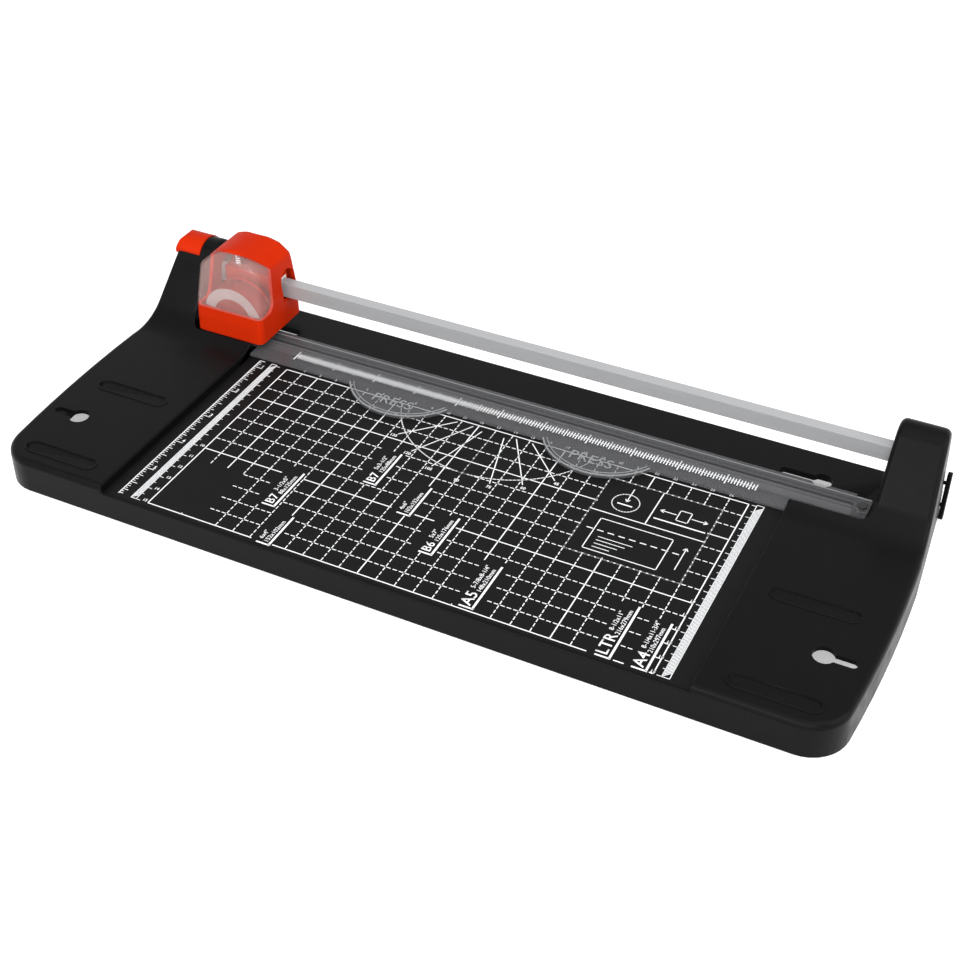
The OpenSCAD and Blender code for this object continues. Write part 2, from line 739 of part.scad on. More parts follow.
module blade_axle() {
  color(steel) {
    rod_y(head_x, axle_z, cut_y - 5.6, cut_y + 5, axle_d / 2 - 0.02);
    rod_y(head_x, axle_z, cut_y + 5, cut_y + 6.5, axle_d / 2 + 1.5);
  }
}
module axle_clip() {
  color(steel) difference() {
    rod_y(head_x, axle_z, cut_y - 5.2, cut_y - 4.4, axle_d / 2 + 1.4);
    rod_y(head_x, axle_z, cut_y - 6, cut_y - 4, axle_d / 2 - 0.02);
  }
}
module blade_wheel() {
  color(steel) difference() {
    rod_y(head_x, axle_z, cut_y - blade_t / 2, cut_y + blade_t / 2, blade_d / 2);
    rod_y(head_x, axle_z, cut_y - 1, cut_y + 1, axle_d / 2 + 1.5);
  }
}
module blade_hub() {
  color(black) difference() {
    union() {
      rod_y(head_x, axle_z, cut_y - 4.1, cut_y - blade_t / 2, blade_d / 4);
      rod_y(head_x, axle_z, cut_y - blade_t / 2 - eps, cut_y + 1.8, axle_d / 2 + 1.5);
    }
    rod_y(head_x, axle_z, cut_y - 5, cut_y + 3, axle_d / 2 - 0.02 + run_gap);
  }
}
module blade_clamp() {
  color(black) difference() {
    rod_y(head_x, axle_z, cut_y + blade_t / 2, cut_y + 1.8, blade_d / 4);
    rod_y(head_x, axle_z, cut_y - 1, cut_y + 3, axle_d / 2 + 1.5);
  }
}

module lock_button() {
  stem_x = tail_x - 0.45;
  stem = [
    [stem_x - 2.1, bolt_z + 1.2], [stem_x + 2.4, bolt_z + 1.2], [stem_x + 6.4, bolt_z + 3.2],
    [stem_x + 6.4, arch_z + 9], [stem_x - 2.1, arch_z + 9]
  ];
  r = arch_r + button_proud;
  seat_half = button_spring_r + 0.6;
  color(orange) {
    difference() {
      intersection() {
        translate([button_x0, arch_y, arch_z]) rotate([0, 90, 0]) cylinder(h = button_w, r = r);
        box(button_x0, button_x1, arch_y - button_half, arch_y + button_half, button_lip, tower_top + 2);
        along_y(arch_y - 20, arch_y + 20, inset(front_profile(0), -0.5));
      }
      intersection() {
        translate([button_x0, arch_y, arch_z]) rotate([0, 90, 0]) cylinder(h = button_w, r = r - 2);
        box(button_x0 + 3.4, button_x1 - 1.6, arch_y - arch_r, arch_y + arch_r, button_lip - 1, tower_top);
      }
      box(button_x0 + 5, button_x1 + 1, bolt_y - bolt_w / 2 - trim_gap, bolt_y + bolt_w / 2 + trim_gap,
        button_lip - 1, bolt_z + bolt_h + button_travel + trim_gap);
    }
    along_y(bolt_y - bolt_w / 2, bolt_y + bolt_w / 2, stem);
    intersection() {
      translate([button_x0, arch_y, arch_z]) rotate([0, 90, 0]) cylinder(h = button_w, r = r - 1);
      box(button_spring_x - seat_half, button_spring_x + seat_half, button_spring_y - seat_half,
        button_spring_y + seat_half, boss_low, tower_top);
    }
    box(button_x0 + 3.2, button_x0 + 4.7, arch_y - 8.4, arch_y + 8.4, arch_z - 1.6, arch_z + 5.2);
  }
}
module button_spring() {
  color(steel) translate([button_spring_x, button_spring_y, seat_z])
    spring(0, 0, 0, button_spring_h, button_spring_r, button_wire_r, button_curls);
}
module lock_bolt() {
  color(steel) along_y(bolt_y - bolt_w / 2, bolt_y + bolt_w / 2, [
    [tail_x, bolt_z], [bolt_tip, bolt_z], [bolt_tip, bolt_z + bolt_h],
    [tail_x + bolt_ratio * bolt_h, bolt_z + bolt_h]
  ]);
}
module bolt_guide() {
  x0 = -tower_in - wall - 6.1;
  color([0.25, 0.25, 0.27]) difference() {
    box(x0, -tower_in - wall, bolt_y - 3.5, bolt_y + 3.5, bolt_z - 1, bolt_z + bolt_h - 1.2);
    box(x0 - 1, -tower_in, bolt_y - bolt_w / 2 - slide_gap, bolt_y + bolt_w / 2 + slide_gap,
      bolt_z - slide_gap, bolt_z + bolt_h + slide_gap);
  }
}

bed_shell();
end_shell_left();
end_shell_right();
rib_frame();
joint_screws_left();
joint_screws_right();
scale_panel();
cutting_strip();
foot_front_left();
foot_front_mid();
foot_front_right();
foot_rear_left();
foot_rear_mid();
foot_rear_right();
rail();
rail_post_left();
rail_post_right();
rail_screw_left();
rail_screw_right();
post_screws_left();
post_screws_right();
side_clip_left();
side_clip_right();
guard_strip();
guard_pin_left();
guard_pin_right();
guard_spring_left();
guard_spring_right();
carriage_block();
rail_liner_left();
rail_liner_right();
press_post_left();
press_post_right();
press_spring_left();
press_spring_right();
head_shell();
head_window();
head_chassis();
blade_guard();
blade_axle();
axle_clip();
blade_wheel();
blade_hub();
blade_clamp();
lock_button();
button_spring();
lock_bolt();
bolt_guide();
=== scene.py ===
"""Looks of a sliding rotary paper cutter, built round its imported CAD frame.

Lengths in the classes are millimetres in the CAD's own frame: X along the rail, Y to the rear,
Z up from the table. Every mesh is scaled to metres when its object is made.
"""
import json
import logging
import math
from dataclasses import dataclass
from enum import Enum
from typing import Callable, Sequence

import bmesh
import bpy
from mathutils import Matrix, Vector
from mathutils.geometry import intersect_point_line


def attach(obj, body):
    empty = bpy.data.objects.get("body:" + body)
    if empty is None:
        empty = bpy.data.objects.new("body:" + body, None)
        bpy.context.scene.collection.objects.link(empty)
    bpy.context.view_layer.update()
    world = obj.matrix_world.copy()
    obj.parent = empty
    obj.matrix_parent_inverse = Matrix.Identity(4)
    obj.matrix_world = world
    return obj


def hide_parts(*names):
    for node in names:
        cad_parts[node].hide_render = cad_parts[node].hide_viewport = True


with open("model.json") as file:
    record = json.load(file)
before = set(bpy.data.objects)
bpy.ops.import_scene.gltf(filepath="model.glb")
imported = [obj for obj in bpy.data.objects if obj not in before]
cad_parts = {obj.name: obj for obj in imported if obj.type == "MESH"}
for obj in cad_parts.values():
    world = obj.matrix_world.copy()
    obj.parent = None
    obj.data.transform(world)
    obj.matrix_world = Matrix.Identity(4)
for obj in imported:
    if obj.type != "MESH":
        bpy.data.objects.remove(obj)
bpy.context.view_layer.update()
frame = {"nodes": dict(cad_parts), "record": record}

MM = 0.001
# How far the drawn forms lie inside the CAD's outside
SKIN = 0.03
# Edges that turn by more, in degrees, are rounded
SHARP = 40.0
# A face looks along an axis when its normal's share is larger
FACING = 0.9
# Height of a capital letter as a share of the built-in letters' size
CAPITAL = 0.73
# Millimetres in a sixteenth of an inch
SIXTEENTH = 25.4 / 16
LOG = logging.getLogger("paper_cutter")
SLOT_OF = {part["node"]: part["material_slot"] for part in frame["record"]["subparts"]}

Point = tuple[float, float]
Triple = tuple[float, float, float]
Row = tuple[float, ...]
Mesh = bmesh.types.BMesh
Piece = bpy.types.Object
Socket = bpy.types.NodeSocket


class Axis(Enum):
    """Direction along which a prism is drawn out."""

    X = "x"
    Y = "y"
    Z = "z"

    def place(self, point: Point, level: float) -> Vector:
        """Puts a profile point at a level along the axis.

        Args:
            point: the point in the profile's plane.
            level: its place along the axis.

        Returns:
            The point in space.
        """
        a, b = point
        if self is Axis.X:
            return Vector((level, a, b))
        if self is Axis.Y:
            return Vector((a, level, b))
        return Vector((a, b, level))


class Carve(Enum):
    """Ways of combining two solids."""

    JOIN = "UNION"
    CUT = "DIFFERENCE"
    KEEP = "INTERSECT"


# Mesh helpers

def arc(centre: Point, radius: float, start: float, end: float, steps: int) -> list[Point]:
    """Points of an arc.

    Args:
        centre: centre of the arc.
        radius: its radius.
        start: first angle in degrees.
        end: last angle in degrees.
        steps: number of straight steps.

    Returns:
        steps + 1 points from start to end.
    """
    angles = [math.radians(start + (end - start) * i / steps) for i in range(steps + 1)]
    return [(centre[0] + radius * math.cos(a), centre[1] + radius * math.sin(a)) for a in angles]


def inset(points: Sequence[Point], depth: float) -> list[Point]:
    """Moves the sides of a convex counter-clockwise outline inwards.

    Args:
        points: its corners in millimetres.
        depth: how far each side moves.

    Returns:
        The smaller outline.
    """
    result = []
    for before, here, after in zip((points[-1], *points[:-1]), points, (*points[1:], points[0])):
        first = (Vector(here) - Vector(before)).normalized()
        second = (Vector(after) - Vector(here)).normalized()
        left = Vector((-first.y - second.y, first.x + second.x))
        shift = left * (depth / (1 + first.dot(second)))
        result.append((here[0] + shift.x, here[1] + shift.y))
    return result


def grow(bm: Mesh, way: Vector) -> None:
    """Draws all faces of a flat mesh out into a solid.

    Args:
        bm: the flat mesh, which changes.
        way: how far its faces move.
    """
    grown = bmesh.ops.extrude_face_region(bm, geom=bm.faces[:])
    moved = [g for g in grown["geom"] if isinstance(g, bmesh.types.BMVert)]
    bmesh.ops.translate(bm, verts=moved, vec=way)
    bmesh.ops.recalc_face_normals(bm, faces=bm.faces)


def prism(points: Sequence[Point], axis: Axis, low: float, high: float) -> Mesh:
    """Draws a closed outline out into a solid.

    Args:
        points: the outline, in millimetres.
        axis: direction of drawing out.
        low: lower end along the axis.
        high: upper end along the axis.

    Returns:
        A new bmesh in millimetres with its faces outward.
    """
    bm = bmesh.new()
    bm.faces.new([bm.verts.new(axis.place(p, low)) for p in points])
    grow(bm, axis.place((0, 0), high - low))
    return bm


def rectangle(x: Point, y: Point) -> list[Point]:
    """Corners of a rectangle between two pairs of limits, counter-clockwise."""
    return [(x[0], y[0]), (x[1], y[0]), (x[1], y[1]), (x[0], y[1])]


def block(x: Point, y: Point, z: Point) -> Mesh:
    """A box between three pairs of limits."""
    return prism(rectangle(x, y), Axis.Z, z[0], z[1])


def link(name: str, data: bpy.types.ID) -> Piece:
    """A new object in the scene with the given mesh, curve, lamp or camera.

    Args:
        name: its name.
        data: what it shows.

    Returns:
        The new object, at the origin.
    """
    obj = bpy.data.objects.new(name, data)
    bpy.context.scene.collection.objects.link(obj)
    return obj


def to_object(name: str, bm: Mesh, scale: float = MM) -> Piece:
    """Turns a bmesh into a linked object at the origin and frees the bmesh.

    Args:
        name: name of the piece.
        bm: its mesh.
        scale: factor from the mesh's own unit to metres.

    Returns:
        The new object.
    """
    bmesh.ops.scale(bm, verts=bm.verts, vec=(scale, scale, scale))
    mesh = bpy.data.meshes.new(name)
    bm.to_mesh(mesh)
    bm.free()
    return link(name, mesh)


def from_object(obj: Piece) -> Mesh:
    """A bmesh of an object's own mesh, in millimetres.

    Args:
        obj: the object, which stays.

    Returns:
        A new bmesh.
    """
    bm = bmesh.new()
    bm.from_mesh(obj.data)
    bmesh.ops.scale(bm, verts=bm.verts, vec=(1 / MM, 1 / MM, 1 / MM))
    return bm


def take(obj: Piece) -> Mesh:
    """A bmesh of an object that is used up, in millimetres.

    Args:
        obj: the object, which is removed.

    Returns:
        A new bmesh.
    """
    bm = from_object(obj)
    bpy.data.objects.remove(obj)
    return bm


def node_mesh(node: str) -> Mesh:
    """A merged copy of a CAD node's mesh, in millimetres.

    Args:
        node: name of the CAD node.

    Returns:
        A new bmesh.
    """
    bm = from_object(frame["nodes"][node])
    bmesh.ops.remove_doubles(bm, verts=bm.verts, dist=0.001)
    return bm


def freeze(obj: Piece) -> None:
    """Applies an object's modifiers to its mesh.

    Args:
        obj: the object, which changes.
    """
    graph = bpy.context.evaluated_depsgraph_get()
    graph.update()
    mesh = bpy.data.meshes.new_from_object(obj.evaluated_get(graph))
    obj.modifiers.clear()
    obj.data = mesh


def carve(obj: Piece, tool: Mesh, how: Carve) -> None:
    """Combines an object with a tool solid.

    Args:
        obj: the object that changes.
        tool: the other solid, in millimetres; it is used up.
        how: join, cut or keep.
    """
    other = to_object("tool", tool)
    step = obj.modifiers.new("carve", "BOOLEAN")
    step.operation = how.value
    step.solver = "MANIFOLD"
    step.object = other
    freeze(obj)
    bpy.data.objects.remove(other)


def tidy(bm: Mesh, angle: float = 0.6) -> None:
    """Merges close points and joins faces that lie in one plane."""
    bmesh.ops.remove_doubles(bm, verts=bm.verts, dist=0.004)
    bmesh.ops.dissolve_limit(bm, angle_limit=math.radians(angle), verts=bm.verts, edges=bm.edges)


def sharp_edges(bm: Mesh, angle: float = SHARP) -> list[bmesh.types.BMEdge]:
    """Outward edges that turn by more than an angle in degrees.

    Args:
        bm: the mesh.
        angle: the least turn in degrees.

    Returns:
        The edges that turn by more.
    """
    limit = math.radians(angle)
    return [
        edge for edge in bm.edges
        if len(edge.link_faces) == 2 and edge.is_convex and edge.calc_face_angle(0) > limit
    ]


def round_edges(bm: Mesh, edges: Sequence[bmesh.types.BMEdge], width: float, segments: int = 3) -> None:
    """Rounds the given edges by a width in millimetres.

    Args:
        bm: the mesh, which changes.
        edges: the edges; none is fine too.
        width: width of the rounding.
        segments: number of steps across it.
    """
    if edges:
        bmesh.ops.bevel(
            bm, geom=edges, offset=width, offset_type="OFFSET", segments=segments, profile=0.5,
            affect="EDGES", material=-1, clamp_overlap=True,
        )


def smooth(obj: Piece, angle: float = 32) -> None:
    """Smooth shading, with creases where faces turn by more than an angle in degrees.

    Args:
        obj: the object.
        angle: the least turn of a crease in degrees.
    """
    obj.data.shade_smooth()
    obj.data.set_sharp_from_angle(angle=math.radians(angle))
    even = obj.modifiers.new("even_normals", "WEIGHTED_NORMAL")
    even.keep_sharp = True


# Finishes

class Nodes:
    """Shorthand for building one node material; the span is the range where noise values lie."""

    span = (0.3, 0.7)

    def __init__(self, name: str) -> None:
        """Starts a material.

        Args:
            name: its name.
        """
        self.material = bpy.data.materials.new(name)
        self.material.use_nodes = True
        self.tree = self.material.node_tree
        self.shader = self.tree.nodes["Principled BSDF"]
        self.place = self.tree.nodes.new("ShaderNodeTexCoord").outputs["Object"]

    def new(self, kind: str, **values: object) -> bpy.types.Node:
        """A node of a kind, with the values of its input sockets by name.

        Args:
            kind: type name of the node.
            values: socket values, with _ for a space in a name.

        Returns:
            The new node.
        """
        node = self.tree.nodes.new(kind)
        for key, value in values.items():
            node.inputs[key.replace("_", " ")].default_value = value
        return node

    def link(self, start: Socket, end: Socket) -> None:
        """Joins two sockets."""
        self.tree.links.new(start, end)

    def noise(self, size: float, stretch: Vector | None = None, detail: float = 2) -> Socket:
        """Noise with features of about a size in millimetres, stretched per axis if asked.

        Args:
            size: size of the features.
            stretch: scale per axis, or None for even noise.
            detail: number of finer layers.

        Returns:
            The socket with the noise value.
        """
        node = self.new("ShaderNodeTexNoise", Scale=1 / (size * MM), Detail=detail)
        if stretch is None:
            self.link(self.place, node.inputs["Vector"])
        else:
            turn = self.new("ShaderNodeMapping", Scale=stretch)
            self.link(self.place, turn.inputs["Vector"])
            self.link(turn.outputs["Vector"], node.inputs["Vector"])
        return node.outputs["Fac"]

    def roughen(self, source: Socket, low: float, high: float) -> None:
        """Varies the roughness with a noise value, between two limits.

        Args:
            source: the noise value.
            low: least roughness.
            high: greatest roughness.
        """
        start, end = self.span
        node = self.new("ShaderNodeMapRange", From_Min=start, From_Max=end, To_Min=low, To_Max=high)
        self.link(source, node.inputs["Value"])
        self.link(node.outputs["Result"], self.shader.inputs["Roughness"])

    def tint(self, source: Socket, colour: Sequence[float], change: float) -> None:
        """Varies the base colour a little round its value.

        Args:
            source: the noise value.
            colour: the middle colour.
            change: the share by which it gets darker and lighter.
        """
        ramp = self.tree.nodes.new("ShaderNodeValToRGB")
        for point, side, factor in zip(ramp.color_ramp.elements, self.span, (1 - change, 1 + change)):
            point.position = side
            point.color = (*[min(1, c * factor) for c in colour[:3]], 1)
        self.link(source, ramp.inputs["Fac"])
        self.link(ramp.outputs["Color"], self.shader.inputs["Base Color"])

    def bump(self, source: Socket, depth: float) -> None:
        """Raises the surface by a height in millimetres.

        Args:
            source: the noise value.
            depth: height of the relief.
        """
        node = self.new("ShaderNodeBump", Strength=1.0, Distance=depth * MM)
        self.link(source, node.inputs["Height"])
        self.link(node.outputs["Normal"], self.shader.inputs["Normal"])


@dataclass(frozen=True)
class Moulded:
    """Opaque moulded plastic or rubber with a fine grain."""

    name: str
    colour: Triple
    roughness: float = 0.5
    specular: float = 0.4
    grain: float = 0.35
    depth: float = 0.02
    change: float = 0.06
    cloud: float = 22.0
    patch: float = 9.0
    uneven: float = 0.05

    def make(self) -> bpy.types.Material:
        """Builds the material.

        Returns:
            The finished material.
        """
        kit = Nodes(self.name)
        grain = kit.noise(self.grain)
        kit.tint(kit.noise(self.cloud, detail=3), self.colour, self.change)
        kit.roughen(kit.noise(self.patch), self.roughness - self.uneven, self.roughness + self.uneven)
        kit.bump(grain, self.depth)
        kit.shader.inputs["Specular IOR Level"].default_value = self.specular
        return kit.material


@dataclass(frozen=True)
class Clear:
    """Thin see-through plastic, from polished to hazy."""

    name: str
    colour: Triple
    alpha: float = 0.15
    roughness: float = 0.06
    specular: float = 0.6
    change: float = 0.02
    cloud: float = 15.0
    patch: float = 6.0
    uneven: float = 0.2

    def make(self) -> bpy.types.Material:
        """Builds the material.

        Returns:
            The finished material.
        """
        kit = Nodes(self.name)
        kit.tint(kit.noise(self.cloud), self.colour, self.change)
        low, high = (self.roughness * (1 + side * self.uneven) for side in (-1, 1))
        kit.roughen(kit.noise(self.patch), low, high)
        kit.shader.inputs["Alpha"].default_value = self.alpha
        kit.shader.inputs["Specular IOR Level"].default_value = self.specular
        return kit.material


@dataclass(frozen=True)
class Metal:
    """Drawn, ground or plated metal with fine lines along one axis."""

    name: str
    colour: Triple
    roughness: float = 0.3
    stretch: Triple = (0.02, 1, 1)
    depth: float = 0.004
    metallic: float = 1.0
    line: float = 0.4
    change: float = 0.05
    uneven: float = 0.06

    def make(self) -> bpy.types.Material:
        """Builds the material.

        Returns:
            The finished material.
        """
        kit = Nodes(self.name)
        lines = kit.noise(self.line, Vector(self.stretch), 3)
        kit.tint(lines, self.colour, self.change)
        kit.roughen(lines, self.roughness - self.uneven, self.roughness + self.uneven)
        kit.bump(lines, self.depth)
        kit.shader.inputs["Metallic"].default_value = self.metallic
        return kit.material


class Finishes:
    """All materials of the cutter, made once, by material slot and by special use."""

    def __init__(self) -> None:
        """Makes every material."""
        self.base = Moulded("black_moulding", (0.0036, 0.0036, 0.0038), 0.34, 0.055, 0.4, 0.012).make()
        self.panel = Moulded("panel_black", (0.004, 0.004, 0.0042), 0.5, 0.08, 0.5, 0.006).make()
        self.strip = Moulded("strip_grey", (0.03, 0.03, 0.031), 0.45, 0.4).make()
        self.rubber = Moulded("foot_rubber", (0.02, 0.02, 0.02), 0.75, 0.25, 0.6, 0.04).make()
        self.inner = Moulded("inner_moulding", (0.02, 0.02, 0.021), 0.5, 0.4).make()
        self.liner = Moulded("natural_liner", (0.75, 0.75, 0.72), 0.45, 0.4).make()
        self.orange = Moulded("orange_moulding", (0.46, 0.019, 0.002), 0.4, 0.03, 0.5, 0.008, 0.03).make()
        self.ink = Moulded("white_ink", (0.8, 0.8, 0.8), 0.55, 0.3, 0.3, 0.004, 0.04).make()
        self.rail = Metal("anodised_rail", (0.37, 0.37, 0.375), 0.4, metallic=0.3).make()
        self.steel = Metal("plated_steel", (0.6, 0.6, 0.61), 0.28, (1, 1, 0.2)).make()
        self.wire = Metal("spring_wire", (0.58, 0.58, 0.6), 0.25, (1, 1, 1)).make()
        self.blade = Metal("ground_blade", (0.68, 0.68, 0.7), 0.2, (1, 0.1, 1)).make()
        self.clear = Clear("clear_plastic", (0.75, 0.5, 0.46), 0.13, 0.05).make()
        self.guard = Clear("guard_plastic", (0.16, 0.16, 0.165), 0.25, 0.12).make()
        self.frost = Moulded("frosted_moulding", (0.22, 0.225, 0.23), 0.45, 0.4, 0.4, 0.004, 0.04).make()
        # Painted shade: the blade cover takes the dark red of the orange inner wall in shade behind the
        # window, not its own grey.
        self.smoke = Clear("cover_red_painted_shade", (0.28, 0.02, 0.012), 0.85, 0.2).make()
        self.haze = Clear("hazy_band", (0.55, 0.5, 0.49), 0.6, 0.25).make()
        self.by_slot = {
            "base_plastic": self.base, "panel_print": self.panel, "strip_plastic": self.strip,
            "foot_rubber": self.rubber, "rail_metal": self.rail, "inner_plastic": self.inner,
            "steel_parts": self.steel, "spring_steel": self.wire, "liner_plastic": self.liner,
            "clear_plastic": self.clear, "cover_grey": self.smoke, "orange_plastic": self.orange,
            "blade_steel": self.blade,
        }


@dataclass
class SubAssembly:
    """A group of pieces that ride on the frame and share the finishes."""

    finishes: Finishes

    def seat(
        self, obj: Piece, body: str, slot: str, material: bpy.types.Material,
        replaced: Sequence[str] = (),
    ) -> None:
        """Dresses a finished piece and ties it to the frame.

        Args:
            obj: the piece, in place.
            body: CAD body that it moves with.
            slot: material slot of the record; not used.
            material: its finish.
            replaced: CAD nodes that it stands for.
        """
        obj.data.materials.clear()
        obj.data.materials.append(material)
        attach(obj, body)
        if replaced:
            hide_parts(*replaced)
        LOG.info("%s: %d faces on %s", obj.name, len(obj.data.polygons), body)

    def soften(
        self, node: str, body: str, width: float, material: bpy.types.Material | None = None
    ) -> None:
        """Replaces a CAD node by a copy with rounded edges.

        Args:
            node: the CAD node.
            body: CAD body that the copy moves with.
            width: width of the rounded edges.
            material: its finish, or None for that of its material slot.
        """
        slot = SLOT_OF[node]
        bm = node_mesh(node)
        tidy(bm)
        round_edges(bm, sharp_edges(bm), width, 2)
        obj = to_object(f"{node}_finished", bm)
        smooth(obj)
        self.seat(obj, body, slot, material or self.finishes.by_slot[slot], [node])


# Base

@dataclass
class Base(SubAssembly):
    """The black base moulding: bed, wings and towers."""

    half_len: float = 229.2
    half_dep: float = 95.3
    bed_half: float = 157.0
    tower_in: float = 197.0
    bed_z: float = 16.5
    wing_z: float = 20.9
    skirt_z: float = 1.2
    deck_y: float = 43.3
    deck_corner: float = 5.0
    arch: Point = (82.2, 47.6)
    arch_r: float = 11.3
    slope: float = 47.9
    foot_r: float = 28.7
    bow_r: float = 800.0
    front_r: float = 20.0
    draft: float = 0.0385
    draft_from: float = -2.7
    slope_y: float = 60.0
    rim: float = 3.3
    inner_round: float = 3.0
    small_round: float = 0.8
    beyond: float = 30.0
    bow_start: float = 0.8
    bow_end: float = 26.0
    near: float = 1.0
    turn: float = 24.0

    def side_outline(self) -> list[Point]:
        """Side profile over wing, foot curve, slope and tower top, a skin's depth inside the CAD's.

        Returns:
            The profile as (y, z) points.
        """
        a = math.radians(self.slope)
        r = self.arch_r - SKIN
        wing = self.wing_z - SKIN
        foot = self.foot_r + SKIN
        tangent = (self.arch[0] - r * math.sin(a), self.arch[1] + r * math.cos(a))
        run = (wing + foot - foot * math.cos(a) - tangent[1]) / math.sin(a)
        foot_c = (tangent[0] + run * math.cos(a) - foot * math.sin(a), wing + foot)
        rear, low = self.half_dep + self.beyond, self.skirt_z - self.beyond
        front = -rear
        return [
            (front, low), (rear, low), (rear, self.bed_z - SKIN), (self.arch[0] + r, self.bed_z - SKIN),
            *arc(self.arch, r, 0, 90 + self.slope, 14),
            *arc(foot_c, foot, -90 + self.slope, -90, 12),
            (front, wing),
        ]

    def plan_outline(self) -> list[Point]:
        """The base seen from above, a skin's depth inside the CAD's.

        Returns:
            The plan as (x, y) points.
        """
        bow = self.bow_r - SKIN
        bow_x = self.half_len - self.bow_r
        front_r, rear = self.front_r - SKIN, self.half_dep - SKIN
        front_y = -self.half_dep + self.front_r
        front_x = bow_x + math.sqrt((self.bow_r - self.front_r) ** 2 - front_y ** 2)
        front_a = math.degrees(math.atan2(front_y, front_x - bow_x))
        end_a = math.degrees(math.asin(self.bow_end / bow))
        right = [
            *arc((front_x, front_y), front_r, -90, front_a, 8),
            *arc((bow_x, 0), bow, front_a * self.bow_start, end_a, 6),
            (bow_x + math.sqrt(bow ** 2 - rear ** 2), rear),
        ]
        return right + [(-x, y) for x, y in reversed(right)]

    def walls(self) -> Mesh:
        """The base's plan as a tall solid whose end walls lean inwards.

        Returns:
            The solid.
        """
        bm = prism(self.plan_outline(), Axis.Z, -self.beyond, self.half_dep)
        for vert in bm.verts:
            vert.co.x -= math.copysign(self.draft, vert.co.x) * (vert.co.z - self.draft_from)
        return bm

    def form(self) -> Piece:
        """The base's outside as one solid with sharp edges.

        Returns:
            A new object.
        """
        far = self.half_len + self.beyond
        form = to_object("form", prism(self.side_outline(), Axis.X, -far, far))
        carve(form, self.walls(), Carve.KEEP)
        bed = self.bed_half + SKIN
        carve(form, block((-bed, bed), (-far, far), (self.bed_z - SKIN, far)), Carve.CUT)
        x, y, r = self.tower_in + SKIN, self.deck_y - SKIN, self.deck_corner
        right = [*arc((x - r, y + r), r, 270, 360, 5), (x, far)]
        deck = [*right, *((-a, b) for a, b in reversed(right))]
        carve(form, prism(deck, Axis.Z, self.bed_z - SKIN, far), Carve.CUT)
        return form

    def edge_width(self, edge: bmesh.types.BMEdge) -> float:
        """Chooses an edge's rounding: wide on the rim, less on a tower's inner side, else small.

        Args:
            edge: a sharp edge of the form.

        Returns:
            The width in millimetres, or 0 below the bed's top.
        """
        mid = (edge.verts[0].co + edge.verts[1].co) / 2
        normals = [face.normal for face in edge.link_faces]
        if mid.z < self.bed_z - self.near:
            return 0
        inner = any(n.x * math.copysign(1, mid.x) < -FACING for n in normals)
        rear = mid.y < self.slope_y and any(n.y > FACING for n in normals)
        deck = abs(mid.x) < self.tower_in and -self.near < mid.y - self.deck_y < self.deck_corner
        if inner and not deck and mid.z > self.wing_z + self.near / 2:
            return self.inner_round
        low = mid.z < self.bed_z + self.near or abs(mid.x) < self.bed_half + self.near
        return self.small_round if inner or rear or deck or low else self.rim

    def rounded_form(self) -> Piece:
        """The form with its edges rounded, each by its own width.

        Returns:
            A new object.
        """
        bm = take(self.form())
        tidy(bm, 0.2)
        layer = bm.edges.layers.float.new("bevel_weight_edge")
        for edge in sharp_edges(bm, self.turn):
            edge[layer] = self.edge_width(edge) / self.rim
        body = to_object("base_body", bm)
        bevel = body.modifiers.new("rim", "BEVEL")
        bevel.limit_method = "WEIGHT"
        bevel.width = self.rim * MM
        bevel.segments = 4
        bevel.use_clamp_overlap = False
        freeze(body)
        return body

    def build(self) -> None:
        """Keeps of the CAD's shells what lies in the rounded form."""
        body = self.rounded_form()
        bed, *ends = nodes = ["bed_shell", "end_shell_left", "end_shell_right"]
        shells = to_object("shells", node_mesh(bed))
        for name in ends:
            carve(shells, node_mesh(name), Carve.JOIN)
        carve(body, take(shells), Carve.KEEP)
        smooth(body)
        self.seat(body, "base", "base_plastic", self.finishes.base, nodes)


def stadium(x: Point, y: float, radius: float, steps: int = 8) -> list[Point]:
    """Outline of a long slot with round ends.

    Args:
        x: centres of the two round ends along X.
        y: middle of the slot.
        radius: radius of the ends.
        steps: straight steps in each end.

    Returns:
        The outline, counter-clockwise.
    """
    return [*arc((x[0], y), radius, 90, 270, steps), *arc((x[1], y), radius, -90, 90, steps)]


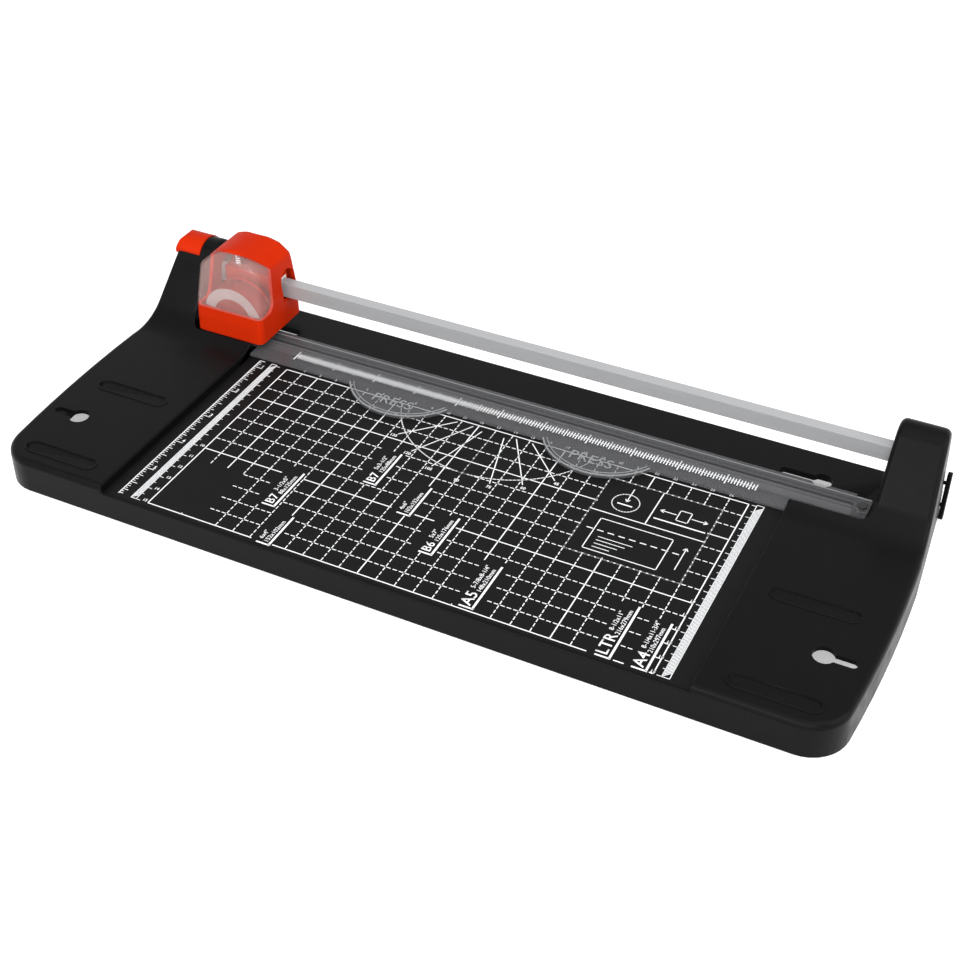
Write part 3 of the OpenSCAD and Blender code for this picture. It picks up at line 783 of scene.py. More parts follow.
@dataclass
class GripPads(SubAssembly):
    """Sunk finger grips on the wings: rows of small studs behind a raised front lip."""

    reach: Point = (173.7, 208.2)
    rows: Row = (-82.5, -21.5)
    radius: float = 4.0
    top_z: float = 20.9
    sunk: float = 0.8
    lip: float = 1.3
    lip_rise: float = 0.45
    lip_root: float = 0.3
    lip_end: float = 0.3
    lip_round: float = 0.8
    gap: float = 0.02
    stud_r: float = 0.5
    stud_top: float = 0.275
    stud_rise: float = 0.35
    pitch: float = 1.9
    first: float = 2.0
    margin: float = 1.2
    beyond: float = 20.0

    def studs(self) -> Mesh:
        """Staggered rows of small cones in all four grips.

        Returns:
            The cones in one mesh.
        """
        bm = bmesh.new()
        level = self.top_z - self.sunk + self.stud_rise / 2
        start = self.reach[0] - self.radius + self.first
        count = int((self.reach[1] - self.reach[0] + 2 * (self.radius - self.margin)) / self.pitch)
        for y in self.rows:
            for row in (-1, 0, 1):
                for i in range(count + row % 2):
                    x = start + (i - row % 2 / 2 + 0.5) * self.pitch
                    for side in (-1, 1):
                        spot = Matrix.Translation((side * x, y + row * self.pitch, level))
                        bmesh.ops.create_cone(
                            bm, cap_ends=True, segments=8, radius1=self.stud_r, radius2=self.stud_top,
                            depth=self.stud_rise, matrix=spot,
                        )
        return bm

    def lip_ring(self, y: float) -> Mesh:
        """Raised lip round the front half of one right-hand grip.

        Args:
            y: middle of the grip.

        Returns:
            The lip.
        """
        low, high = self.top_z - self.lip_root, self.top_z + self.lip_rise
        through = (low - 1, high + 1)
        lip = to_object("lip", prism(stadium(self.reach, y, self.radius + self.lip), Axis.Z, low, high))
        carve(lip, prism(stadium(self.reach, y, self.radius + self.gap), Axis.Z, *through), Carve.CUT)
        rear = (y + self.radius * self.lip_end, y + self.beyond)
        carve(lip, block((0, self.reach[1] + self.beyond), rear, through), Carve.CUT)
        bm = take(lip)
        tops = [e for e in sharp_edges(bm) if min(v.co.z for v in e.verts) > high - self.gap / 2]
        round_edges(bm, tops, self.lip_rise * self.lip_round, 3)
        return bm

    def lips(self) -> Mesh:
        """The lips of all four grips, the left ones mirrored from the right ones.

        Returns:
            The lips in one mesh, in metres.
        """
        whole = bmesh.new()
        for y in self.rows:
            lip = to_object("lip", self.lip_ring(y), 1)
            whole.from_mesh(lip.data)
            lip.data.transform(Matrix.Diagonal((-1, 1, 1, 1)))
            lip.data.flip_normals()
            whole.from_mesh(lip.data)
            bpy.data.objects.remove(lip)
        return whole

    def build(self) -> None:
        """Makes the studs and the lips on both wings."""
        for name, bm, crease in (("grip_studs", self.studs(), 60), ("grip_lips", self.lips(), 50)):
            obj = to_object(name, bm)
            smooth(obj, crease)
            self.seat(obj, "base", "base_plastic", self.finishes.base)


# Printed panel

@dataclass(frozen=True)
class Zone:
    """A rectangle of the print that grid lines leave free."""

    x0: float
    x1: float
    y0: float
    y1: float

    def holds(self, x: float, y: float) -> bool:
        """Tells whether a point lies in the zone."""
        return self.x0 <= x <= self.x1 and self.y0 <= y <= self.y1

    def smaller(self, edge: float) -> "Zone":
        """The zone without a strip along each side."""
        return Zone(self.x0 + edge, self.x1 - edge, self.y0 + edge, self.y1 - edge)


class Print:
    """Flat white marks collected in one mesh, at a level, in the panel's own millimetres."""

    def __init__(self, origin: Point, level: float, thick: float = 0.04) -> None:
        """Starts an empty print.

        Args:
            origin: the print's own zero in the CAD's X and Y.
            level: height of its underside.
            thick: its thickness.
        """
        self.bm = bmesh.new()
        self.origin = Vector((*origin, level))
        self.thick = thick

    def bar(self, start: Sequence[float], end: Sequence[float], width: float) -> None:
        """One straight mark from start to end.

        Args:
            start: one end.
            end: the other end.
            width: width of the mark.
        """
        a, b = Vector(start), Vector(end)
        along = b - a
        mid = (a + b) / 2
        turn = Matrix.Rotation(math.atan2(along.y, along.x), 4, "Z")
        size = Matrix.Diagonal((along.length, width, 1, 1))
        spot = Matrix.Translation(self.origin + Vector((mid.x, mid.y, 0)))
        bmesh.ops.create_grid(self.bm, x_segments=1, y_segments=1, size=0.5, matrix=spot @ turn @ size)

    def path(self, points: Sequence[Point], width: float, closed: bool = False) -> None:
        """A line through several points, its joints overlapping a little.

        Args:
            points: the points in order.
            width: width of the line.
            closed: whether it runs back to the first point.
        """
        stops = list(points) + ([points[0]] if closed else [])
        for a, b in zip(stops, stops[1:]):
            step = (Vector(b) - Vector(a)).normalized() * (width / 2)
            self.bar(Vector(a) - step, Vector(b) + step, width)

    def lay(
        self, start: Point, end: Point, width: float, free: Sequence[Zone], dash: float = 0.0,
        pitch: float = 1.0,
    ) -> None:
        """A grid line that stops at the free zones.

        Args:
            start: one end.
            end: the other end.
            width: width of the line.
            free: zones that it leaves out.
            dash: length of one dash, or 0 for a full line.
            pitch: distance between dashes, or between the tests along a full line.
        """
        a, b = Vector(start), Vector(end)
        length = (b - a).length
        step = (b - a) / length
        count = round(length / pitch)
        pitch = length / count
        run: list[int] = []
        for i in range(count + 1):
            mid = a + step * (i + 0.5) * pitch
            drawn = i < count and not any(zone.holds(*mid) for zone in free)
            if drawn and dash:
                self.bar(mid - step * dash / 2, mid + step * dash / 2, width)
            elif drawn:
                run.append(i)
            elif run:
                self.bar(a + step * run[0] * pitch, a + step * (run[-1] + 1) * pitch, width)
                run = []

    def words(
        self, text: str, spot: Point, size: float, turn: float = 0, align: str = "LEFT",
        weight: float = 0.03,
    ) -> None:
        """Prints a few generic characters.

        Args:
            text: the characters.
            spot: where their baseline starts, or its middle or end.
            size: height of a capital letter.
            turn: direction of the baseline in degrees.
            align: LEFT, CENTER or RIGHT.
            weight: extra thickness of the strokes, as a share of the size.
        """
        curve = bpy.data.curves.new("letters", "FONT")
        curve.body = text
        curve.size = size / CAPITAL
        curve.align_x = align
        curve.offset = size * weight
        curve.resolution_u = 2
        obj = link("letters", curve)
        graph = bpy.context.evaluated_depsgraph_get()
        mesh = bpy.data.meshes.new_from_object(obj.evaluated_get(graph))
        bpy.data.objects.remove(obj)
        place = Matrix.Translation(self.origin + Vector((*spot, 0)))
        mesh.transform(place @ Matrix.Rotation(math.radians(turn), 4, "Z"))
        self.bm.from_mesh(mesh)

    def number(self, value: int, spot: Point, size: float, weight: float = 0.03) -> None:
        """Prints a number with its baseline's middle at a spot."""
        self.words(str(value), spot, size, 0, "CENTER", weight)

    def piece(self, name: str) -> Piece:
        """Gives the collected marks their thickness and makes the object.

        Args:
            name: name of the piece.

        Returns:
            The new object.
        """
        bmesh.ops.remove_doubles(self.bm, verts=self.bm.verts, dist=0.001)
        for face in self.bm.faces:
            if face.normal.z < 0:
                face.normal_flip()
        grow(self.bm, Vector((0, 0, self.thick)))
        return to_object(name, self.bm)


def tick_length(count: int, lengths: Sequence[float]) -> float:
    """Length of an inch scale's tick.

    Args:
        count: the tick's number, in sixteenths of an inch.
        lengths: lengths of the whole, half, quarter, eighth and sixteenth ticks.

    Returns:
        The length for this tick.
    """
    return next(length for every, length in zip((16, 8, 4, 2, 1), lengths) if count % every == 0)


@dataclass(frozen=True)
class SizeMark:
    """A paper-size mark: a thick bar with a foot, and its words turned along it."""

    x: float
    y0: float
    y1: float
    code: str
    inches: str
    metric: str
    code_size: float = 5.0
    bar: float = 1.1
    foot: Point = (7.0, 0.9)
    foot_out: float = 0.65
    small: float = 2.5
    indent: float = 1.4
    columns: Row = (1.9, 1.6, 5.2)
    advance: Point = (0.25, 0.72)
    inches_in: float = 1.5
    weights: Point = (0.012, 0.01)
    room: Row = (10.5, 1.8, 0.5, 1.0)

    def zone(self) -> Zone:
        """The part of the grid that the mark leaves free."""
        left, right, front, rear = self.room
        return Zone(self.x - left, self.x + right, self.y0 - front, self.y1 + rear)

    def draw(self, ink: Print) -> None:
        """Prints the mark.

        Args:
            ink: the print.
        """
        ink.bar((self.x, self.y0), (self.x, self.y1), self.bar)
        ink.bar((self.x + self.foot_out, self.y0), (self.x - self.foot[0], self.y0), self.foot[1])
        start = self.y0 + self.indent
        code_x, metric_x, inches_x = (self.x - column for column in self.columns)
        bold, light = self.weights
        if self.code:
            ink.words(self.code, (code_x, start), self.code_size, 90, weight=bold)
            start += self.code_size * (self.advance[0] + self.advance[1] * len(self.code))
        ink.words(self.metric, (metric_x, start), self.small, 90, weight=light)
        ink.words(self.inches, (inches_x, start + self.inches_in), self.small, 90, weight=light)


@dataclass
class MeasuringPrint(SubAssembly):
    """The white print on the black panel: grid, rulers, angle arc, size marks and small figures."""

    origin: Point = (-161.3, -91.0)
    level: float = 16.505
    left: float = 30.0
    right: float = 300.0
    rear: float = 130.0
    cell: float = 10.0
    line: float = 0.6
    thin: float = 0.5
    dash: float = 2.3
    cut_y: float = 150.0
    full_x: Row = (30, 50, 100, 150, 200, 250, 300)
    full_y: Row = (0, 50, 100, 130)
    fine: float = 0.4
    bold: float = 0.8
    inch_x: float = 12.0
    inch_ticks: Row = (5.0, 3.8, 3.0, 2.2, 1.6)
    inch_number: Row = (4.4, 0.8, 2.4)
    bands: tuple[Point, ...] = ((19.7, 22.8), (304.0, 307.7))
    hatch: Point = (1.1, 0.45)
    band_ticks: Row = (2.4, 1.3, 0.35)
    band_number: Row = (4.6, 0.4, 1.9)
    rear_number: Row = (2.2, 1.8)
    past_rear: float = 1.0
    arc_x: float = 160.0
    arc_r: float = 60.0
    arc_line: float = 0.55
    ray_ends: Point = (25.0, 4.0)
    ray_front: float = 22.0
    ray_number: Row = (66.5, -1.0, 2.1)
    rays: tuple[int, ...] = (45, 60, 75, 90, 105, 120, 135)
    figure: Zone = Zone(230.0, 290.0, 60.0, 120.0)
    figure_split: Point = (29.0, 33.0)
    press_at: Point = (14.5, 11.0)
    slide_at: Point = (15.5, 13.5)
    head: Point = (2.4, 150.0)
    blank: Zone = Zone(31.0, 60.5, 1.0, 41.0)
    marks: tuple[SizeMark, ...] = (
        SizeMark(296.5, 0, 33, "A4", '8-1/4x11-3/4"', "210x297mm", 6),
        SizeMark(279, 0, 37, "LTR", '8-1/2x11"', "216x279mm", 6),
        SizeMark(210, 2, 34, "A5", '5-7/8x8-1/4"', "148x210mm", 6),
        SizeMark(175.5, 27, 57, "B6", '5x7"', "125x176mm"),
        SizeMark(125, 62, 90, "B7", '5x3-1/2"', "125x88mm"),
        SizeMark(88, 25, 54, "B7", '3-1/2x5"', "88x125mm"),
        SizeMark(152, 48, 72, "", '4x6"', "102x152mm"),
        SizeMark(101.5, -1, 22, "", '6x4"', "152x102mm"),
    )

    def sheet(self) -> Print:
        """An empty print on the panel's top."""
        return Print(self.origin, self.level)

    def grid(self) -> Print:
        """Full and dashed grid lines that leave the words free.

        Returns:
            The finished print.
        """
        ink = self.sheet()
        free = [mark.zone() for mark in self.marks] + [self.blank, self.figure.smaller(1)]
        dashes = (self.thin, free, self.dash, self.cell / 3)
        for i in range(round((self.right - self.left) / self.cell) + 1):
            x = self.left + i * self.cell
            ink.lay((x, 0), (x, self.rear), *((self.line, free) if x in self.full_x else dashes))
        for i in range(round(self.rear / self.cell) + 1):
            y = i * self.cell
            ink.lay((self.left, y), (self.right, y), *((self.line, free) if y in self.full_y else dashes))
        return ink

    def band(self, ink: Print, limits: Point, side: int) -> None:
        """A hatched centimetre ruler with its ticks and numbers on one side.

        Args:
            ink: the print.
            limits: left and right side of the band.
            side: 1 for ticks on the right, -1 for the left.
        """
        x0, x1 = limits
        top = self.rear + self.past_rear
        for x in limits:
            ink.bar((x, 0), (x, top), self.fine)
        for y in (0, top):
            ink.bar((x0 - self.fine / 2, y), (x1 + self.fine / 2, y), self.fine)
        pitch, stroke = self.hatch
        for i in range(int((top - (x1 - x0)) / pitch)):
            y = self.fine + i * pitch
            ink.bar((x0, y), (x1, y + x1 - x0), stroke)
        edge = x1 if side > 0 else x0
        *lengths, stroke = self.band_ticks
        for i in range(int(top / self.cell * 2) + 1):
            y = i * self.cell / 2
            ink.bar((edge, y), (edge + side * lengths[i % 2], y), stroke)
        out, up, size = self.band_number
        for value in range(10, 16):
            ink.number(value, (edge + side * out, self.cut_y - value * self.cell + up), size)

    def rulers(self) -> Print:
        """The inch comb, the two hatched centimetre rulers and the numbers along the rear.

        Returns:
            The finished print.
        """
        ink = self.sheet()
        top = self.rear + self.past_rear
        ink.bar((self.inch_x, 0), (self.inch_x, top), self.line)
        out, up, size = self.inch_number
        for k in range(int(self.cut_y / SIXTEENTH) + 1):
            y = self.cut_y - k * SIXTEENTH
            if 0 <= y <= top:
                ink.bar((self.inch_x, y), (self.inch_x + tick_length(k, self.inch_ticks), y), self.fine)
                if k % 16 == 0:
                    ink.number(k // 16, (self.inch_x + out, y + up), size)
        for limits, side in zip(self.bands, (1, -1)):
            self.band(ink, limits, side)
        up, size = self.rear_number
        for value in range(1, 27):
            ink.number(value, (self.left + value * self.cell, self.rear + up), size, 0.02)
        return ink

    def angles(self) -> Print:
        """The protractor arc with its rays and degree numbers.

        Returns:
            The finished print.
        """
        ink = self.sheet()
        mid = Vector((self.arc_x, self.cut_y))
        limit = math.degrees(math.asin((self.cut_y - self.rear) / self.arc_r))
        ink.path(arc(tuple(mid), self.arc_r, 180 + limit, 360 - limit, 72), self.arc_line)
        word_r, up, size = self.ray_number
        for angle in self.rays:
            ray = Vector((math.cos(math.radians(angle)), -math.sin(math.radians(angle))))
            near = max(self.ray_front / -ray.y, self.ray_ends[0])
            ink.bar(mid + ray * near, mid + ray * (self.arc_r + self.ray_ends[1]), self.arc_line)
            spot = mid + ray * word_r
            ink.number(angle, (spot.x, spot.y + up), size)
        return ink

    def arrow(self, ink: Print, start: Point, end: Point) -> None:
        """A thin arrow.

        Args:
            ink: the print.
            start: its tail.
            end: its point.
        """
        ink.bar(start, end, self.thin)
        way = (Vector(end) - Vector(start)).normalized()
        length, angle = self.head
        for turn in (angle, -angle):
            tip = Matrix.Rotation(math.radians(turn), 2) @ way * length
            ink.bar(end, Vector(end) + tip, self.thin)

    def press_sign(self, ink: Print, x: float, y: float) -> None:
        """A ring with an arrow that points down at a bar.

        Args:
            ink: the print.
            x: middle of the ring.
            y: middle of the ring.
        """
        radius, tall, half, drop = 7.0, 12.0, 4.0, 1.5
        ink.path(arc((x, y), radius, 0, 360, 28), self.thin)
        self.arrow(ink, (x, y + tall), (x, y + 1))
        ink.bar((x - half, y - drop), (x + half, y - drop), self.bold)

    def slide_sign(self, ink: Print, x: float, y: float) -> None:
        """A box with an arrow to either side, over a line.

        Args:
            ink: the print.
            x: middle of the box.
            y: middle of the box.
        """
        half_x, half_y, near, far, line_half, drop = 3.0, 4.0, 4.0, 12.5, 13.5, 7.0
        for side in (-1, 1):
            self.arrow(ink, (x + side * near, y), (x + side * far, y))
        ink.path(rectangle((x - half_x, x + half_x), (y - half_y, y + half_y)), self.thin, True)
        ink.bar((x - line_half, y - drop), (x + line_half, y - drop), self.bold)

    def sheet_sign(self, ink: Print, x: float, y: float) -> None:
        """A sheet with a dashed cut line, lines of text and the way of the cut.

        Args:
            ink: the print.
            x: left side of the sign's field.
            y: front of the sign's field.
        """
        ink.path(rectangle((x + 8, x + 46), (y + 4, y + 28)), self.thin, True)
        start, dash, pitch, cut_y = x + 4, 3.4, 5.6, y + 19
        for k in range(9):
            ink.bar((start + k * pitch, cut_y), (start + k * pitch + dash, cut_y), self.line)
        arrow_x = x + 54
        self.arrow(ink, (arrow_x, y + 8), (arrow_x, y + 25))
        text_x, text_y, length, spacing, shorter = x + 12, y + 14.5, 18, 2.6, 3
        for k in range(4):
            row = text_y - k * spacing
            ink.bar((text_x, row), (text_x + length - k * shorter, row), self.fine)

    def figures(self) -> Print:
        """Plain working signs in the ruled field: press, slide, and a sheet with its cut line.

        Returns:
            The finished print.
        """
        ink = self.sheet()
        z = self.figure
        mid_x, mid_y = z.x0 + self.figure_split[0], z.y0 + self.figure_split[1]
        ink.path(rectangle((z.x0, z.x1), (z.y0, z.y1)), self.line, True)
        ink.bar((z.x0, mid_y), (z.x1, mid_y), self.line)
        ink.bar((mid_x, mid_y), (mid_x, z.y1), self.line)
        self.press_sign(ink, z.x0 + self.press_at[0], mid_y + self.press_at[1])
        self.slide_sign(ink, mid_x + self.slide_at[0], mid_y + self.slide_at[1])
        self.sheet_sign(ink, z.x0, z.y0)
        return ink

    def labels(self) -> Print:
        """All paper-size marks.

        Returns:
            The finished print.
        """
        ink = self.sheet()
        for mark in self.marks:
            mark.draw(ink)
        return ink

    def build(self) -> None:
        """Prints every part of the artwork as its own piece."""
        parts: dict[str, Callable[[], Print]] = {
            "grid_lines": self.grid, "edge_rulers": self.rulers, "angle_arc": self.angles,
            "working_signs": self.figures, "size_marks": self.labels,
        }
        for name, make in parts.items():
            self.seat(make().piece(name), "base", "panel_print", self.finishes.ink)


# Clear guard

@dataclass
class Guard(SubAssembly):
    """The clear strip that holds the paper, with its scale, thumb rims and raised letters."""

    half_len: float = 194.0
    rear_y: float = 65.8
    top_z: float = 18.9
    front_y: float = 40.5
    lobes: Row = (-61.8, 54.7)
    lobe_r: float = 35.0
    reach: float = 17.0
    rims: tuple[Point, ...] = ((0.1, 0.9), (2.3, 2.7))
    rim_rise: float = 0.5
    rear_rim: Point = (1.0, 0.3)
    rear_rise: float = 0.25
    root: float = 0.1
    end_gap: float = 0.4
    scale_x: Point = (-131.3, 138.7)
    scale_y: float = 50.5
    scale_lines: Point = (0.3, 0.6)
    ticks: Row = (4.0, 3.2, 2.8, 2.5, 2.2)
    above: float = 0.005
    word_in: float = 8.6
    word_size: float = 7.0

    def lobe_band(self, x: float, outer: float, inner: float) -> Mesh:
        """A raised curved band along the edge of one thumb lobe.

        Args:
            x: middle of the lobe.
            outer: outer radius of the band.
            inner: its inner radius.

        Returns:
            The band as a solid.
        """
        centre = (x, self.front_y - self.reach + self.lobe_r)
        half = math.degrees(math.acos((self.lobe_r - self.reach) / self.lobe_r)) + 1
        outline = [
            *arc(centre, outer, 270 - half, 270 + half, 48), *arc(centre, inner, 270 + half, 270 - half, 48)
        ]
        return prism(outline, Axis.Z, self.top_z - self.root, self.top_z + self.rim_rise)

    def frosted_rims(self) -> None:
        """The frosted double rims of the thumb lobes and the strip's rear edge."""
        end = self.half_len - self.end_gap
        across = (self.rear_y - self.rear_rim[0], self.rear_y - self.rear_rim[1])
        rise = (self.top_z - self.root, self.top_z + self.rear_rise)
        rims = to_object("rims", block((-end, end), across, rise))
        for x in self.lobes:
            for outer, inner in self.rims:
                carve(rims, self.lobe_band(x, self.lobe_r - outer, self.lobe_r - inner), Carve.JOIN)
        bm = take(rims)
        tidy(bm)
        round_edges(bm, sharp_edges(bm), 0.1, 2)
        rims = to_object("guard_rims", bm)
        smooth(rims)
        self.seat(rims, "guard", "clear_plastic", self.finishes.frost)

    def scale(self) -> None:
        """The white double comb on the strip."""
        ink = Print((0, 0), self.top_z + self.above, 0.03)
        start, end = self.scale_x
        line, stroke = self.scale_lines
        ink.bar((start, self.scale_y), (end, self.scale_y), line)
        for k in range(int((end - start) / SIXTEENTH) + 1):
            x = start + k * SIXTEENTH
            length = tick_length(k, self.ticks)
            ink.bar((x, self.scale_y - length), (x, self.scale_y + length), stroke)
        self.seat(ink.piece("guard_scale"), "guard", "clear_plastic", self.finishes.ink)

    def raised_words(self) -> None:
        """The raised word on each thumb lobe."""
        ink = Print((0, 0), self.top_z + self.above, 0.15)
        for x in self.lobes:
            spot = (x, self.front_y - self.reach + self.word_in)
            ink.words("PRESS", spot, self.word_size, 0, "CENTER", 0)
        self.seat(ink.piece("press_letters"), "guard", "clear_plastic", self.finishes.frost)

    def build(self) -> None:
        """Makes the strip, its rims, its scale and its letters."""
        self.soften("guard_strip", "guard", 0.25, self.finishes.guard)
        self.frosted_rims()
        self.scale()
        self.raised_words()


# Blade head and small parts

@dataclass
class Head(SubAssembly):
    """The orange press head with its wrap-round clear window."""

    mid_x: float = -172.45
    width: float = 43.7
    low_z: float = 23.0
    tall: float = 48.5
    front_y: float = 44.5
    rear_y: float = 87.0
    corner_r: float = 3.6
    crown: float = 3.6
    shoulder: Point = (6.0, 5.5)
    lean: float = 2.0
    below: float = 5.0
    knee: float = 19.0
    rear_low: tuple[Point, ...] = ((0, 19.5), (0.6, 35))
    rear_top: tuple[Point, ...] = ((1.8, 5.5), (3.6, 2), (7, 0))
    front_top: tuple[Point, ...] = ((15, 0), (9.5, 3), (6, 9.5), (4.1, 19))
    front_low: tuple[Point, ...] = ((2.2, 20), (0.9, 9.5))
    window_low: float = 38.0
    window_rear: float = 57.5
    window_corner: Point = (2.7, 6.0)
    window_top: tuple[Point, ...] = ((6, 9), (0, 1.5), (0, -1))
    rim_near: float = 0.4
    cover_z: float = 32.6
    cover_r: float = 18.7
    cover_y: float = 50.5
    cover_gap: Point = (0.3, 0.02)
    band: float = 6.5

    def side_outline(self) -> list[Point]:
        """Side view of the head, a skin's depth inside the CAD's.

        Returns:
            The outline as (y, z) points.
        """
        front, rear, z = self.front_y + SKIN, self.rear_y - SKIN, self.low_z
        top = z + self.tall - SKIN
        return [
            (front, z - self.below), (rear, z - self.below),
            *((rear - a, z + b) for a, b in self.rear_low),
            *((rear - a, top - b) for a, b in self.rear_top),
            *((front + a, top - b) for a, b in self.front_top),
            *((front + a, z + b) for a, b in self.front_low),
        ]

    def front_outline(self) -> list[Point]:
        """Front view with the crowned top between two shoulders.

        Returns:
            The outline as (x, z) points.
        """
        half, top = self.width / 2 - SKIN, self.low_z + self.tall - SKIN
        leaned = half - self.lean
        flat = leaned - self.shoulder[0]
        crown = [(self.mid_x - flat * i / 4, top - self.crown * (i / 4) ** 2) for i in range(-4, 5)]
        low, knee, side = self.low_z - self.below, self.low_z + self.knee, top - self.crown - self.shoulder[1]
        return [
            (self.mid_x - half, low), (self.mid_x + half, low), (self.mid_x + half, knee),
            (self.mid_x + leaned, side), *crown, (self.mid_x - leaned, side), (self.mid_x - half, knee),
        ]

    def form(self) -> Mesh:
        """The head's outside as one rounded convex solid: a skin of balls round a smaller core.

        Returns:
            The solid.
        """
        r = self.corner_r
        across = (self.mid_x - self.width, self.mid_x + self.width)
        along = (self.front_y - 9, self.rear_y + 9)
        core = to_object("core", prism(inset(self.side_outline(), r), Axis.X, *across))
        carve(core, prism(inset(self.front_outline(), r), Axis.Y, *along), Carve.KEEP)
        bm = take(core)
        tidy(bm, 0.2)
        spots = [Matrix.Translation(v.co) for v in bm.verts]
        bm.clear()
        for spot in spots:
            bmesh.ops.create_uvsphere(bm, u_segments=16, v_segments=10, radius=r, matrix=spot)
        hull = bmesh.ops.convex_hull(bm, input=bm.verts[:], use_existing_faces=False)
        kept = {g for g in hull["geom"] if isinstance(g, bmesh.types.BMFace)}
        bmesh.ops.delete(bm, geom=[f for f in bm.faces if f not in kept], context="FACES")
        bmesh.ops.recalc_face_normals(bm, faces=bm.faces)
        return bm

    def window_outline(self) -> list[Point]:
        """The window's lower and rear edge in side view.

        Returns:
            The edge as (y, z) points.
        """
        y, z = self.window_rear, self.window_low
        top = self.low_z + self.tall
        step, r = self.window_corner
        return [
            (self.front_y - 2, z), *arc((y + step - r, z + r), r, -90, 0, 6),
            *((y + a, top - b) for a, b in self.window_top),
        ]

    def rim_faces(self, bm: Mesh) -> list[bmesh.types.BMFace]:
        """Faces of the window's cut edge, which show the colour of the shell they touch.

        Args:
            bm: the window's mesh.

        Returns:
            The faces.
        """
        path = [Vector((0, *p)) for p in self.window_outline()]
        found = []
        for face in bm.faces:
            spot = face.calc_center_median()
            spot.x = 0
            for a, b in zip(path, path[1:]):
                near, part = intersect_point_line(spot, a, b)
                across = (b - a).normalized().cross(Vector((1, 0, 0)))
                close = -0.1 <= part <= 1.1 and (near - spot).length < self.rim_near
                if close and abs(face.normal.dot(across)) > FACING:
                    found.append(face)
                    break
        return found

    def cover_band(self) -> None:
        """The hazy curved band on the front of the blade cover."""
        centre, outer = (self.mid_x, self.cover_z), self.cover_r - self.cover_gap[0]
        ring = arc(centre, outer, 15, 165, 32) + arc(centre, outer - self.band, 165, 15, 32)
        front, rear = (self.cover_y - gap for gap in self.cover_gap)
        band = to_object("cover_band", prism(ring, Axis.Y, front, rear))
        smooth(band)
        self.seat(band, "head", "cover_grey", self.finishes.haze)

    def build(self) -> None:
        """Makes the rounded shell and window from the CAD's hollow ones."""
        self.soften("head_chassis", "head", 0.3, self.finishes.orange)
        self.cover_band()
        form = self.form()
        for node in ("head_shell", "head_window"):
            slot = SLOT_OF[node]
            obj = to_object(f"{node}_finished", node_mesh(node))
            carve(obj, form.copy(), Carve.KEEP)
            bm = take(obj)
            tidy(bm, 0.4)
            bm.faces.index_update()
            rim = [face.index for face in self.rim_faces(bm)] if node == "head_window" else []
            obj = to_object(f"{node}_finished", bm)
            smooth(obj, 28)
            self.seat(obj, "head", slot, self.finishes.by_slot[slot], [node])
            if rim:
                obj.data.materials.append(self.finishes.orange)
            for index in rim:
                obj.data.polygons[index].material_index = 1


@dataclass
class SmallParts(SubAssembly):
    """Rail, lock button, clips, feet and head internals with softened edges."""

    button_round: float = 3.6
    button_edge: float = 0.35
    end_depth: float = 2.0

    def button(self) -> None:
        """The lock button with its well rounded outer end."""
        bm = node_mesh("lock_button")
        tidy(bm)
        inner = min(v.co.x for v in bm.verts) + self.end_depth
        rim = []
        for edge in sharp_edges(bm):
            ways = [face.normal.x for face in edge.link_faces]
            if max(v.co.x for v in edge.verts) < inner and max(ways) < 0.3 and min(ways) < -FACING:
                rim.append(edge)
        round_edges(bm, rim, self.button_round, 5)
        round_edges(bm, sharp_edges(bm), self.button_edge, 2)
        obj = to_object("lock_button_finished", bm)
        smooth(obj)
        self.seat(obj, "button", "orange_plastic", self.finishes.orange, ["lock_button"])

    def build(self) -> None:
        """Rounds the edges of each visible small part."""
        self.soften("rail", "base", 0.45)
        self.button()
        for side in ("left", "right"):
            self.soften(f"guard_pin_{side}", "base", 0.3, self.finishes.inner)
        for side in ("left", "right"):
            self.soften(f"side_clip_{side}", "base", 0.4)
        self.soften("cutting_strip", "base", 0.15)
        self.soften("carriage_block", "carriage", 0.5, self.finishes.orange)
        for spot in ("front", "rear"):
            for side in ("left", "mid", "right"):
                self.soften(f"foot_{spot}_{side}", "base", 0.5)


# Studio

@dataclass(frozen=True)
class Lamp:
    """A square soft lamp that faces the object, in metres and watts."""

    name: str
    spot: Triple
    size: float
    power: float

    def place(self) -> None:
        """Puts the lamp in the scene."""
        data = bpy.data.lights.new(self.name, "AREA")
        data.size = self.size
        data.energy = self.power
        obj = link(self.name, data)
        obj.location = self.spot
        obj.rotation_euler = (-obj.location).to_track_quat("-Z", "Y").to_euler()


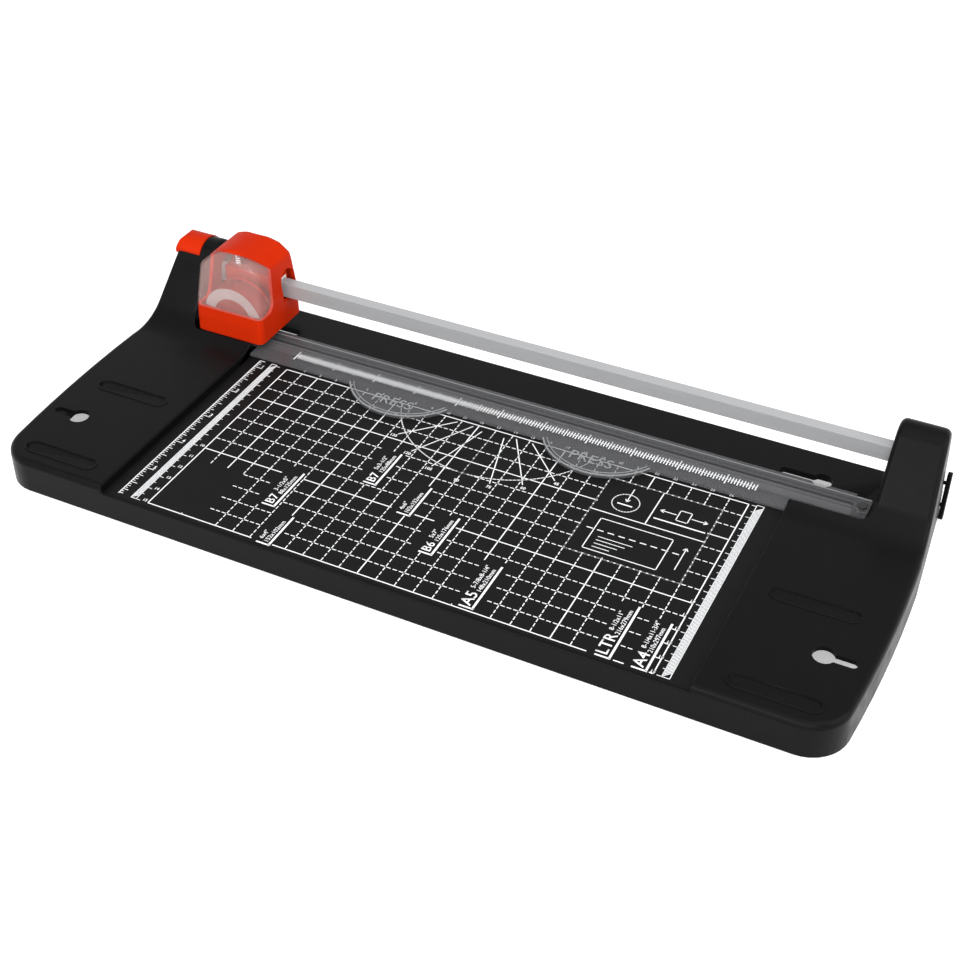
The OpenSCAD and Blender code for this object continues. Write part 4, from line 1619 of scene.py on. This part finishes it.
@dataclass
class Studio:
    """Pale floor, soft lamps and the camera at the photograph's view."""

    eye: Triple = (286.742, -550.71, 507.042)
    azimuth: float = 25.953
    elevation: float = 38.602
    lens: float = 58.034
    sensor: float = 36.0
    shift: float = -0.01886
    clip: Point = (0.01, 20.0)
    sky: Triple = (0.9, 0.93, 1.0)
    sky_power: float = 0.4
    floor_half: float = 4000.0
    floor_grey: float = 0.8
    floor_rough: float = 0.9
    floor_glow: float = 0.45
    lamps: tuple[Lamp, ...] = (
        Lamp("front_lamp", (0.4, -1.6, 1.0), 1.6, 30),
        Lamp("top_lamp", (0.5, -0.2, 1.9), 1.8, 18),
        Lamp("left_lamp", (-0.61, -1.24, 1.14), 0.7, 14),
        Lamp("right_lamp", (1.6, 0.1, 0.9), 1.4, 18),
    )

    def camera(self) -> None:
        """Places the camera."""
        data = bpy.data.cameras.new("camera")
        data.lens = self.lens
        data.sensor_width = self.sensor
        data.shift_x = self.shift
        data.clip_start, data.clip_end = self.clip
        cam = link("camera", data)
        cam.location = Vector(self.eye) * MM
        cam.rotation_euler = (math.radians(90 - self.elevation), 0, math.radians(self.azimuth))
        bpy.context.scene.camera = cam

    def light(
        self, tree: bpy.types.NodeTree, kind: str, power: float, colour: Sequence[float] = (1, 1, 1)
    ) -> Socket:
        """The output of a new background or emission shader.

        Args:
            tree: the node tree.
            kind: type name of the shader.
            power: its strength.
            colour: its colour.

        Returns:
            The output socket.
        """
        node = tree.nodes.new(kind)
        node.inputs["Color"].default_value = (*colour, 1)
        node.inputs["Strength"].default_value = power
        return node.outputs[0]

    def pick(self, tree: bpy.types.NodeTree, lit: Socket, seen: Socket) -> Socket:
        """Shows one shader to the camera, gloss and clear parts, and another to all other rays.

        Args:
            tree: the node tree.
            lit: output of the shader that lights the object.
            seen: output of the shader that the camera sees.

        Returns:
            The output of the mixed shader.
        """
        path = tree.nodes.new("ShaderNodeLightPath")
        factor = path.outputs["Is Camera Ray"]
        for kind in ("Transmission", "Glossy"):
            larger = tree.nodes.new("ShaderNodeMath")
            larger.operation = "MAXIMUM"
            tree.links.new(factor, larger.inputs[0])
            tree.links.new(path.outputs[f"Is {kind} Ray"], larger.inputs[1])
            factor = larger.outputs[0]
        mix = tree.nodes.new("ShaderNodeMixShader")
        for start, end in zip((factor, lit, seen), mix.inputs):
            tree.links.new(start, end)
        return mix.outputs[0]

    def world(self) -> None:
        """Soft grey light all round, seen as white by the camera, gloss and clear parts."""
        world = bpy.data.worlds.new("studio")
        world.use_nodes = True
        tree = world.node_tree
        sky = self.light(tree, "ShaderNodeBackground", self.sky_power, self.sky)
        white = self.light(tree, "ShaderNodeBackground", 1)
        tree.links.new(self.pick(tree, sky, white), tree.nodes["World Output"].inputs["Surface"])
        bpy.context.scene.world = world

    def floor(self) -> None:
        """A wide pale floor that keeps a soft shadow."""
        bm = bmesh.new()
        bmesh.ops.create_grid(bm, x_segments=1, y_segments=1, size=self.floor_half)
        obj = to_object("floor", bm)
        material = bpy.data.materials.new("pale_floor")
        material.use_nodes = True
        tree = material.node_tree
        shader = tree.nodes["Principled BSDF"]
        shader.inputs["Base Color"].default_value = (*[self.floor_grey] * 3, 1)
        shader.inputs["Roughness"].default_value = self.floor_rough
        black, glow = (self.light(tree, "ShaderNodeEmission", power) for power in (0, self.floor_glow))
        add = tree.nodes.new("ShaderNodeAddShader")
        tree.links.new(shader.outputs[0], add.inputs[0])
        tree.links.new(self.pick(tree, black, glow), add.inputs[1])
        tree.links.new(add.outputs[0], tree.nodes["Material Output"].inputs["Surface"])
        obj.data.materials.append(material)

    def build(self) -> None:
        """Sets up camera, world, floor and lamps."""
        bpy.context.scene.view_settings.view_transform = "Standard"
        self.camera()
        self.world()
        self.floor()
        for lamp in self.lamps:
            lamp.place()


def dress_nodes(finishes: Finishes) -> None:
    """Gives every CAD node the finish of its material slot.

    Args:
        finishes: all materials.
    """
    for name, obj in frame["nodes"].items():
        slot = SLOT_OF[name]
        for place in obj.material_slots:
            place.material = finishes.by_slot[slot]


def main() -> None:
    """Builds the cutter's looks in order."""
    logging.basicConfig(level=logging.INFO, format="%(name)s: %(message)s")
    Studio().build()
    finishes = Finishes()
    dress_nodes(finishes)
    for group in (Base, GripPads, MeasuringPrint, Guard, Head, SmallParts):
        group(finishes).build()


if __name__ == "__main__":
    main()
